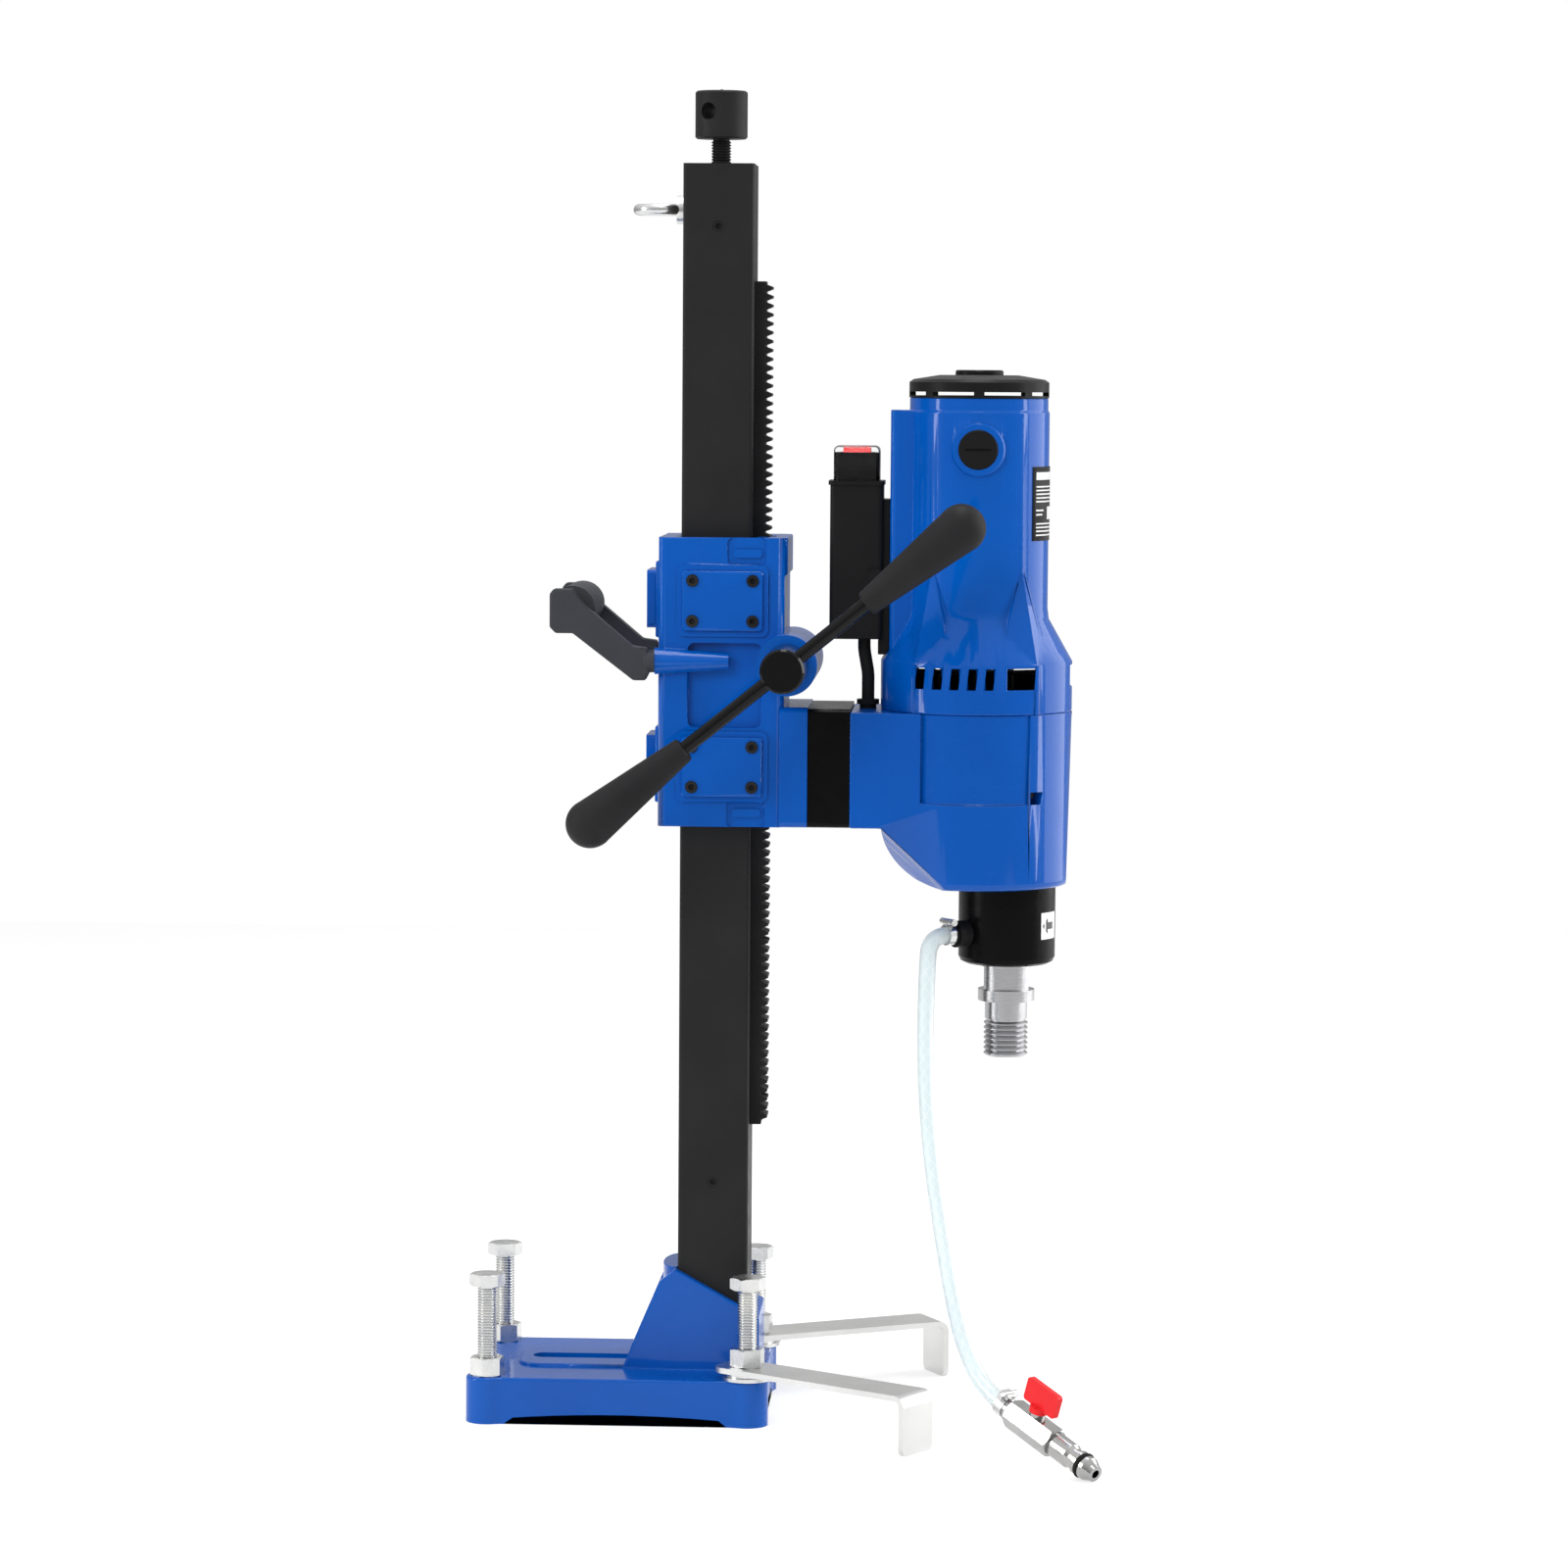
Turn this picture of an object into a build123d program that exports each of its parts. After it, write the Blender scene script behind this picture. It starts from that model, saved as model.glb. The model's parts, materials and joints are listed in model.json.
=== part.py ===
from build123d import *
import math
import os

# Core drill rig: a rack-fed drill stand with its water-fed electric core drill.
# Millimetres, +Z up, +X from the column towards the drill, Y along the feed shaft.
# While it is modelled, X and Y are counted from the column's centre and Z from the floor.
# The last section moves every piece so that the origin lies under the middle of the rig.

# ---------------------------------------------------------------- clearances
slip = 0.05          # radial or flat clearance of a located fit
running = 0.04       # radial clearance of a turning fit
backlash = 0.16      # tooth thinning of each gear
free_gap = 0.3       # gap between pieces that pass without touching

# ---------------------------------------------------------------- base
base_left = -173.0
base_right = 42.0
base_half_width = 77.5
foot_radius = 15.0
foot_blend = 25.0
foot_top = 33.0
deck_thickness = 8.0
deck_edge = 2.0
skirt_bottom = 3.4
skirt_arch = 6.2
skirt_wall = 7.0
skirt_inset = 2.5
platform_half_width = 31.0
platform_left = -140.0
platform_rise = 2.0
slot_left = -131.0
slot_right = -48.0
slot_width = 17.0
socket_wall = 8.0
socket_left = -27.0
socket_right = 34.0
socket_high = 106.0
socket_low = 72.0
socket_bulge = 10.0
socket_bulge_half_width = 28.0
gusset_left = -64.0
gusset_high = 97.0
gusset_taper = 5.0
gusset_thickness = 6.0

# ---------------------------------------------------------------- column
column_x = 50.0
column_y = 60.0
column_wall = 4.0
column_corner = 3.0
column_foot = 12.0
column_top = 884.0
cap_thickness = 6.0
foot_block_top = 186.0
jack_block_height = 69.0
lower_screw_height = 168.0
upper_screw_drop = 38.0
set_screw_radius = 4.0
tie_bolt_radius = 6.0
eye_drop = 26.0
eye_ring_radius = 14.0
eye_bar_radius = 4.0
eye_collar_radius = 10.0
eye_collar_length = 6.0
jack_block_bottom = column_top - jack_block_height
upper_screw_height = column_top - upper_screw_drop
eye_height = column_top - eye_drop

# ---------------------------------------------------------------- levelling bolts and arms
bolt_radius = 7.0
bolt_pitch = 2.0
bolt_head_flats = 22.0
bolt_head_height = 8.8
bolt_head_bottom = 97.0
bolt_tip = 7.0
nut_height = 13.0
washer_radius = 18.0
washer_thickness = 2.5
washers_under_arm = 2
arm_width = 35.0
arm_thickness = 4.0
arm_tail = 20.0
arm_tail_corner = 10.0
arm_reach = 149.0
arm_bend = 8.0
near_arm_angle = -34.5
far_arm_angle = 27.0

# ---------------------------------------------------------------- jack
jack_screw_depth = 48.0
jack_head_rise = 24.0
jack_head_radius = 18.5
jack_head_height = 33.6
jack_bar_hole_radius = 6.0
jack_bar_hole_height = 19.0
jack_point_height = 1.5
jack_screw_tip = column_top - jack_screw_depth
jack_head_bottom = column_top + jack_head_rise

# ---------------------------------------------------------------- rack and pinion
rack_module = 2.0
rack_low = 207.0
rack_high = 808.0
rack_width = 22.0
rack_pitch_line = 35.5
pressure_angle = 20.0
pinion_teeth = 16
pinion_height = 539.5
pinion_width = 24.0
pinion_backlash = 0.5
rack_screw_radius = 3.0
rack_screw_count = 6

# ---------------------------------------------------------------- carriage
carriage_low = 424.0
carriage_high = 628.0
carriage_left = -40.0
carriage_right = 49.0
carriage_half_width = 46.0
carriage_bore_gap = 3.0
recess_low = 494.0
recess_high = 554.0
recess_depth = 6.0
corner_step = 1.6
boss_radius = 21.5
boss_front = -66.0
boss_back = 50.0
shaft_radius = 10.0
bush_wall = 4.0
cover_left = -23.0
cover_right = 34.0
cover_height = 42.5
cover_thickness = 3.0
cover_heights = (466.6, 583.6)
cover_screw_x = 42.5
cover_screw_z = 28.5
cover_screw_radius = 2.5
rear_cover_depth = 9.5
rear_cover_half_width = 25.0
flange_left = 49.0
flange_right = 65.8
flange_low = 424.0
flange_high = 509.0
flange_half_width = 48.0
spacer_length = 30.0
spacer_bolt_radius = 5.0
spacer_bolt_y = 33.0
spacer_bolt_z = 28.0
handle_boss_height = 541.0
handle_arm_y = 50.0
handle_arm_width = 14.0
handle_grip_radius = 15.5
handle_neck_radius = 8.0
handle_bolt_end = -22.0

# ---------------------------------------------------------------- crank
crank_angle = 39.0
hub_radius = 15.5
hub_front = -134.0
hub_back = -68.0
bar_plane = -118.0
bar_radius = 5.0
upper_reach = 174.0
lower_reach = 188.0
grip_length = 101.0
grip_end_radius = 17.0
grip_start_radius = 9.0

# ---------------------------------------------------------------- drill motor
motor_x = 184.0
motor_radius = 50.0
motor_wall = 4.0
motor_top = 727.0
flare_top = 571.0
flare_bottom = 541.0
flare_radius = 68.0
seam_height = 506.0
gearbox_bottom = 382.0
gearbox_wall = 6.0
gearbox_floor = 8.0
motor_flange_right = 115.0
rib_left = 122.0
rib_half_width = 20.0
rib_top = 718.0
vent_low = 523.5
vent_high = 538.5
vent_pitch = 12.2
vent_width = 6.6
vent_count = 5
buttress_angles = (51.0, 129.0)
buttress_top = 606.0
buttress_half_width = 23.0
brush_height = 691.0
brush_cap_radius = 14.0
brush_bore_radius = 7.0
brush_boss_radius = 19.0
cap_top = 744.0
cap_disc_radius = 17.0
cap_disc_top = 746.6
housing_screw_angles = (51.0, 160.0)
housing_screw_ring = 59.0
housing_screw_radius = 2.5
plate_low = 607.0
plate_high = 679.0
plate_start_angle = -41.0
plate_sweep = 80.0
plate_thickness = 0.6

# ---------------------------------------------------------------- gear train
spindle_x = 207.5
fast_module = 1.25
slow_module = 2.0
armature_teeth = 10
idler_teeth = 38
idler_pinion_teeth = 12
spindle_teeth = 28
slow_gear_low = 406.0
slow_gear_width = 18.0
fast_gear_low = 430.0
fast_gear_width = 12.0
gear_plate_low = 450.0
gear_plate_thickness = 10.0
armature_shaft_radius = 6.0

# ---------------------------------------------------------------- spindle and water collar
thread_radius = 15.875
thread_pitch = 3.629
thread_low = 258.0
thread_high = 285.0
neck_radius = 15.25
spindle_flange_radius = 20.3
spindle_flange_low = 298.0
spindle_flange_high = 306.0
wrench_radius = 18.2
wrench_flats = 32.0
collar_radius = 34.5
collar_low = 325.0
seal_radius = 22.0
journal_radius = 15.0
water_bore = 5.0
inlet_height = 347.5
inlet_angle = -145.0
inlet_radius = 9.5
inlet_end = 48.0
hose_radius = 6.0

# ---------------------------------------------------------------- switch
switch_left = 79.5
switch_right = 117.0
switch_half_width = 20.0
switch_low = 556.0
switch_high = 668.0
bezel_top = 688.0
rocker_tilt = 8.0
rocker_pin_radius = 2.0
rocker_pin_height = 682.0
rocker_wall_left = 86.0
rocker_wall_right = 110.0
rocker_gap = 2.2
cable_radius = 4.5
cable_x = 107.0

# ---------------------------------------------------------------- tap
tap_start = (212.8, -166.0, 35.7)
tap_end = (271.2, -228.5, 5.8)
valve_flats = 19.0

# The hose: straight out of the collar's inlet, sharply down, then in a long bow to the tap.
hose_route = [
    (168.2, -27.5, 347.5),
    (160.0, -33.2, 347.5),
    (153.1, -38.5, 341.6),
    (151.9, -42.1, 330.2),
    (151.5, -47.6, 313.0),
    (150.8, -57.0, 283.0),
    (152.0, -69.0, 239.0),
    (157.0, -83.0, 190.0),
    (165.0, -100.0, 142.6),
    (176.2, -123.4, 87.0),
    (187.2, -137.0, 58.7),
    (198.4, -151.2, 43.9),
    tap_start,
]

parts = {}


# ================================================================ shapes
def block(x, y, z):
    """A box from its low and high corner in each direction."""
    sides = [high - low for low, high in (x, y, z)]
    middle = [(high + low) / 2 for low, high in (x, y, z)]
    return Pos(*middle) * Box(*sides)


def rounded_block(x, y, z, radius):
    """An upright block with its four standing edges rounded."""
    plan = RectangleRounded(x[1] - x[0], y[1] - y[0], radius)
    return Pos((x[0] + x[1]) / 2, (y[0] + y[1]) / 2, z[0]) * extrude(plan, z[1] - z[0])


def upright(radius, z, x=0.0, y=0.0):
    """A round bar along Z."""
    return Pos(x, y, (z[0] + z[1]) / 2) * Cylinder(radius, z[1] - z[0])


def along_y(radius, y, x, z):
    """A round bar along Y."""
    return Pos(x, (y[0] + y[1]) / 2, z) * Rot(90, 0, 0) * Cylinder(radius, y[1] - y[0])


def along_x(radius, x, y, z):
    """A round bar along X."""
    return Pos((x[0] + x[1]) / 2, y, z) * Rot(0, 90, 0) * Cylinder(radius, x[1] - x[0])


def turned(outline, x=0.0, y=0.0):
    """A closed (radius, height) outline spun about an upright axis."""
    points = [(radius, 0, height) for radius, height in outline]
    return Pos(x, y, 0) * revolve(make_face(Polyline(*points, close=True)), Axis.Z)


def side_plate(outline, y):
    """A closed (x, z) outline as a plate that is thick along Y."""
    points = [(px, y[0], pz) for px, pz in outline]
    return extrude(make_face(Polyline(*points, close=True)), y[1] - y[0], dir=(0, 1, 0))


def both_sides(shape):
    """The shape and its mirror image across the rig's middle plane."""
    return [shape, mirror(shape, Plane.XZ)]


def thread_outline(radius, pitch, depth, low, high):
    """The outside of a threaded bar as (radius, height) points, from low to high."""
    count = int((high - low) / pitch)
    points = [(radius - depth, low)]
    for turn in range(count):
        start = low + turn * pitch
        points += [(radius, start + pitch * 0.4), (radius, start + pitch * 0.6), (radius - depth, start + pitch)]
    return points + [(radius - depth, high)]


def hexagon(flats, z, x=0.0, y=0.0, turn=0.0):
    """An upright hexagonal prism with its corners eased as on a real nut."""
    corner = flats / math.sqrt(3)
    prism = extrude(RegularPolygon(flats / 2, 6, major_radius=False), z[1] - z[0])
    height = z[1] - z[0]
    ease = (corner - flats / 2) * 0.6
    easing = [(0, 0), (flats / 2, 0), (corner + 0.2, ease)]
    easing += [(corner + 0.2, height - ease), (flats / 2, height), (0, height)]
    return Pos(x, y, z[0]) * Rot(0, 0, turn) * (prism & turned(easing))


def placed_along(shape, start, end):
    """A shape made along +X with its top towards +Z, laid from one point to another."""
    direction = Vector(*end) - Vector(*start)
    flat = math.hypot(direction.X, direction.Y)
    heading = math.degrees(math.atan2(direction.Y, direction.X))
    pitch = math.degrees(math.atan2(direction.Z, flat))
    return Pos(*start) * Rot(0, 0, heading) * Rot(0, -pitch, 0) * shape


# ================================================================ gears
def involute(angle):
    return math.tan(angle) - angle


def gear_plan(module, teeth, thinning, first_tooth):
    """A spur gear's outline, with the middle of one tooth at the angle first_tooth in degrees."""
    pitch_radius = module * teeth / 2
    base_radius = pitch_radius * math.cos(math.radians(pressure_angle))
    tip_radius = pitch_radius + module * 0.95
    root_radius = pitch_radius - module * 1.25
    half_tooth = (math.pi * module / 2 - thinning) / (2 * pitch_radius)
    half_tooth += involute(math.radians(pressure_angle))
    low_radius = max(base_radius, root_radius + 0.05)
    flank = []
    for step in range(5):
        radius = low_radius + (tip_radius - low_radius) * step / 4
        flank.append((radius, half_tooth - involute(math.acos(base_radius / radius))))
    points = []
    for tooth in range(teeth):
        middle = math.radians(first_tooth) + 2 * math.pi * tooth / teeth
        side = [(root_radius, flank[0][1])] + flank
        for radius, offset in side:
            points.append((radius * math.cos(middle - offset), radius * math.sin(middle - offset)))
        for radius, offset in reversed(side):
            points.append((radius * math.cos(middle + offset), radius * math.sin(middle + offset)))
    return make_face(Polyline(*points, close=True))


def spur_gear(module, teeth, thinning, first_tooth, z, x, y):
    return Pos(x, y, z[0]) * extrude(gear_plan(module, teeth, thinning, first_tooth), z[1] - z[0])


# ================================================================ base
bolt_xs = (base_left + foot_radius, base_right - foot_radius)
bolt_y = base_half_width - foot_radius
bolt_places = [(x, y) for x in bolt_xs for y in (-bolt_y, bolt_y)]
column_plan = (column_x / 2 + free_gap, column_y / 2 + free_gap)


def foot_outline():
    """The base from above: straight sides that run smoothly into the round feet."""
    length = base_right - base_left - 2 * skirt_inset
    width = 2 * (base_half_width - skirt_inset)
    plan = Pos((base_left + base_right) / 2, 0) * RectangleRounded(length, width, foot_radius - skirt_inset)
    for place in bolt_places:
        plan += Pos(*place) * Circle(foot_radius)
    return fillet(plan.vertices(), foot_blend)


def arch(start, end, y):
    """The low arch under one side of the skirt, as a cutter that is thick along Y."""
    ease = 5.0
    first, last = (start + ease, 0, skirt_bottom), (end - ease, 0, skirt_bottom)
    low = Polyline(last, (end, 0, 0), (end, 0, -1), (start, 0, -1), (start, 0, 0), first)
    top = ThreePointArc(first, ((start + end) / 2, 0, skirt_arch), last)
    return Pos(0, y[0], 0) * extrude(make_face(low + top), y[1] - y[0], dir=(0, 1, 0))


def make_base():
    body = extrude(foot_outline(), foot_top)
    body = fillet(body.edges().group_by(Axis.Z)[-1], deck_edge)
    inside_x = (base_left + skirt_inset + skirt_wall, base_right - skirt_inset - skirt_wall)
    inside_y = (-base_half_width + skirt_inset + skirt_wall, base_half_width - skirt_inset - skirt_wall)
    body -= rounded_block(inside_x, inside_y, (-1, foot_top - deck_thickness), foot_radius - skirt_wall)
    body -= arch(bolt_xs[0] + foot_radius, bolt_xs[1] - foot_radius, (-100, 100))
    reach = bolt_y - foot_radius
    body -= Pos((base_left + base_right) / 2, 0, 0) * Rot(0, 0, 90) * arch(-reach, reach, (-150, 150))
    platform_y = (-platform_half_width, platform_half_width)
    platform = rounded_block((platform_left, 0), platform_y, (foot_top - 1, foot_top + platform_rise), slot_width)
    body += fillet(platform.edges().group_by(Axis.Z)[-1], platform_rise * 0.7)
    for x, y in bolt_places:
        body += upright(foot_radius, (0, foot_top - deck_edge - 1), x, y)
    # socket round the column, with a rounded bulge on its left wall
    reach_y = column_plan[1] + socket_wall
    low = skirt_arch
    wall = [(socket_left, low), (socket_left, socket_high), (socket_right, socket_low), (socket_right, low)]
    body += side_plate(wall, (-reach_y, reach_y))
    bulge = Pos(socket_left, 0, low) * extrude(Ellipse(socket_bulge, socket_bulge_half_width), socket_high - low)
    body += fillet(bulge.edges().group_by(Axis.Z)[-1], 1)
    # a gusset on each side, that leans inwards as it runs out over the deck
    slope = [(gusset_left, low), (gusset_left, foot_top), (socket_left - socket_bulge, gusset_high)]
    slope += [(socket_left, socket_high), (socket_left + 9, low)]
    outer, inner = -reach_y, -reach_y + gusset_thickness
    lean = [(socket_left + 9, outer, 0), (socket_left, outer, 0), (gusset_left - 1, outer + gusset_taper, 0)]
    lean += [(gusset_left - 1, inner + gusset_taper, 0), (socket_left + 9, inner, 0)]
    plan = extrude(make_face(Polyline(*lean, close=True)), socket_high + 1)
    for side in both_sides(side_plate(slope, (-reach_y, 0)) & plan):
        body += side
    body -= block((-column_plan[0], column_plan[0]), (-column_plan[1], column_plan[1]), (column_foot, 200))
    # anchor slot, bolt holes and the tie bolt's hole
    slot_middle = (slot_left + slot_right) / 2
    slot = SlotOverall(slot_right - slot_left, slot_width)
    body -= Pos(slot_middle, 0, 0) * extrude(slot, 60)
    for x, y in bolt_places:
        body -= upright(bolt_radius + slip, (-1, foot_top + 1), x, y)
    body -= upright(tie_bolt_radius + slip, (0, column_foot + 1))
    body -= upright(12.5, (0, column_foot - 4))
    return body


def make_column():
    plan = RectangleRounded(column_x, column_y, column_corner)
    plan -= RectangleRounded(column_x - 2 * column_wall, column_y - 2 * column_wall, 1.5)
    tube = Pos(0, 0, column_foot) * extrude(plan, column_top - column_foot)
    for height in (lower_screw_height, upper_screw_height):
        tube -= along_y(set_screw_radius + slip, (-40, 40), 0, height)
    for height in rack_screw_heights():
        tube -= along_x(rack_screw_radius + slip, (10, 30), 0, height)
    tube -= along_x(eye_bar_radius + slip, (-30, -10), 0, eye_height)
    return tube


def make_column_cap():
    plan = RectangleRounded(column_x, column_y, column_corner)
    cap = Pos(0, 0, column_top) * extrude(plan, cap_thickness)
    return cap - upright(bolt_radius + slip, (column_top - 1, column_top + cap_thickness + 1))


def make_column_blocks():
    size_x = column_x / 2 - column_wall - slip
    size_y = column_y / 2 - column_wall - slip
    foot = rounded_block((-size_x, size_x), (-size_y, size_y), (column_foot, foot_block_top), 1.5)
    foot -= upright(tie_bolt_radius + slip, (column_foot - 1, column_foot + 50))
    foot -= upright(13, (column_foot + 62, foot_block_top - 36))
    top = rounded_block((-size_x, size_x), (-size_y, size_y), (jack_block_bottom, column_top), 1.5)
    top -= upright(bolt_radius + slip, (jack_block_bottom + 3, column_top + 1))
    top -= along_x(eye_bar_radius + slip, (-size_x - 1, -11), 0, eye_height)
    pair = [(foot, lower_screw_height), (top, upper_screw_height)]
    made = []
    for piece, height in pair:
        for side in both_sides(along_y(set_screw_radius + slip, (-size_y - 1, -13), 0, height)):
            piece -= side
        made.append(piece)
    made[0] -= along_x(rack_screw_radius + slip, (10, size_x + 1), 0, rack_screw_heights()[0])
    return made


def make_tie_bolt():
    head = hexagon(19, (0.6, 8))
    return head + upright(tie_bolt_radius, (8, column_foot + 48))


def make_set_screws():
    made = []
    for height in (lower_screw_height, upper_screw_height):
        screw = along_y(set_screw_radius, (-column_y / 2 + 0.4, -14), 0, height)
        socket = Pos(0, -column_y / 2 + 2.4, height) * Rot(90, 0, 0) * extrude(RegularPolygon(2, 6, major_radius=False), 4)
        made += both_sides(screw - socket)
    return made


# ================================================================ rack
rack_pitch = math.pi * rack_module
pinion_radius = rack_module * pinion_teeth / 2
pinion_x = rack_pitch_line + pinion_radius


def rack_screw_heights():
    teeth_apart = round((rack_high - rack_low - 4 * rack_pitch) / rack_pitch / (rack_screw_count - 1))
    first = pinion_height - rack_pitch * (math.floor((pinion_height - rack_low) / rack_pitch) - 2.5)
    return [first + teeth_apart * rack_pitch * i for i in range(rack_screw_count - 1)] + [
        first + teeth_apart * rack_pitch * (rack_screw_count - 1) - rack_pitch * 2
    ]


def make_rack():
    root = rack_pitch_line - 1.25 * rack_module
    tip = rack_pitch_line + 0.95 * rack_module
    slope = math.tan(math.radians(pressure_angle))
    half_pitch_line = math.pi * rack_module / 4
    half_root = half_pitch_line + (rack_pitch_line - root) * slope
    half_tip = half_pitch_line - (tip - rack_pitch_line) * slope
    below = math.floor((pinion_height - rack_low) / rack_pitch - 0.5)
    above = math.floor((rack_high - pinion_height) / rack_pitch - 0.5)
    points = [(column_x / 2, rack_low), (root, rack_low)]
    for tooth in range(-below, above + 1):
        middle = pinion_height + tooth * rack_pitch
        points += [(root, middle - half_root), (tip, middle - half_tip)]
        points += [(tip, middle + half_tip), (root, middle + half_root)]
    points += [(root, rack_high), (column_x / 2, rack_high)]
    rack = side_plate(points, (-rack_width / 2, rack_width / 2))
    for height in rack_screw_heights():
        rack -= along_x(rack_screw_radius + slip, (20, 40), 0, height)
        rack -= along_x(5.0 + slip, (column_x / 2 + 3, 45), 0, height)
    return rack


def make_rack_screws():
    seat = column_x / 2 + 3
    made = []
    for height in rack_screw_heights():
        screw = along_x(rack_screw_radius, (12, seat), 0, height) + along_x(5.0, (seat, seat + 4.5), 0, height)
        socket = Pos(seat + 2, 0, height) * Rot(0, 90, 0) * extrude(RegularPolygon(2.5, 6, major_radius=False), 4)
        made.append(screw - socket)
    return made


def make_eye_bolt():
    face = -column_x / 2
    ring_middle = face - eye_collar_length - eye_ring_radius + 1
    bolt = along_x(eye_bar_radius, (face - 2, -12), 0, eye_height)
    bolt += along_x(eye_collar_radius, (face - eye_collar_length, face), 0, eye_height)
    return bolt + Pos(ring_middle, 0, eye_height) * Torus(eye_ring_radius, eye_bar_radius)


# ================================================================ levelling bolts, nuts, arms
arm_low = foot_top + washers_under_arm * washer_thickness
arm_high = arm_low + arm_thickness


def nut_base(x):
    return arm_high if x > 0 else foot_top


def make_levelling_bolt(x, y):
    outline = [(0, bolt_tip), (bolt_radius - 1.6, bolt_tip)]
    outline += thread_outline(bolt_radius, bolt_pitch, 1.1, bolt_tip + 0.5, bolt_head_bottom)
    outline += [(0, bolt_head_bottom)]
    head = hexagon(bolt_head_flats, (bolt_head_bottom, bolt_head_bottom + bolt_head_height), x, y, 12)
    return turned(outline, x, y) + head


def make_lock_nuts():
    made = []
    for x, y in bolt_places:
        nut = hexagon(bolt_head_flats, (nut_base(x), nut_base(x) + nut_height), x, y, 20)
        made.append(nut - upright(bolt_radius + slip, (0, 100), x, y))
    return made


def make_arm_washers():
    made = []
    for x, y in bolt_places:
        if x < 0:
            continue
        for layer in range(washers_under_arm):
            low = foot_top + layer * washer_thickness
            radius = washer_radius - 2.5 * layer
            ring = upright(radius, (low, low + washer_thickness), x, y)
            made.append(ring - upright(bolt_radius + slip, (0, 100), x, y))
    return made


def make_arm(side, angle):
    """A strip from the bolt outwards, bent down to a leg that stands on the floor."""
    half = arm_width / 2
    bend_x = arm_reach - arm_bend
    strip = rounded_block((-arm_tail, bend_x), (-half, half), (arm_low, arm_high), arm_tail_corner)
    strip += block((0, bend_x), (-half, half), (arm_low, arm_high))
    bend_z = arm_high - arm_bend
    bend = along_y(arm_bend, (-half, half), bend_x, bend_z)
    bend -= along_y(arm_bend - arm_thickness, (-half, half), bend_x, bend_z)
    bend &= block((bend_x, arm_reach + 1), (-half, half), (bend_z, arm_high + 1))
    leg = block((arm_reach - arm_thickness, arm_reach), (-half, half), (0, bend_z))
    leg_corners = leg.edges().filter_by(Axis.X).group_by(Axis.Z)[0]
    strip += bend + fillet(leg_corners, 5)
    strip -= upright(bolt_radius + slip, (0, 100))
    return Pos(bolt_xs[1], side * bolt_y, 0) * Rot(0, 0, angle) * strip


# ================================================================ jack
def make_jack():
    screw = [(0, jack_screw_tip), (bolt_radius - 1.6, jack_screw_tip)]
    screw += thread_outline(bolt_radius, bolt_pitch, 1.1, jack_screw_tip + 0.5, jack_head_bottom)
    screw += [(0, jack_head_bottom)]
    top = jack_head_bottom + jack_head_height
    edge = jack_head_radius - 1.2
    head = [(0, jack_head_bottom), (edge, jack_head_bottom), (jack_head_radius, jack_head_bottom + 1.2)]
    head += [(jack_head_radius, top - 1.2), (edge, top), (3, top), (0, top + jack_point_height)]
    piece = turned(screw) + turned(head)
    bar_hole = Rot(0, 0, 62) * along_x(jack_bar_hole_radius, (-30, 30), 0, jack_head_bottom + jack_bar_hole_height)
    return piece - bar_hole


# ================================================================ carriage
bush_radius = shaft_radius + running + bush_wall
column_gap_x = column_x / 2 + carriage_bore_gap
column_gap_y = column_y / 2 + carriage_bore_gap
rear_face = carriage_left
cover_middle_x = (cover_left + cover_right) / 2


def cover_screw_places():
    return [
        (cover_middle_x + sx * cover_screw_x / 2, height + sz * cover_screw_z / 2)
        for height in cover_heights
        for sx in (-1, 1)
        for sz in (-1, 1)
    ]


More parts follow.
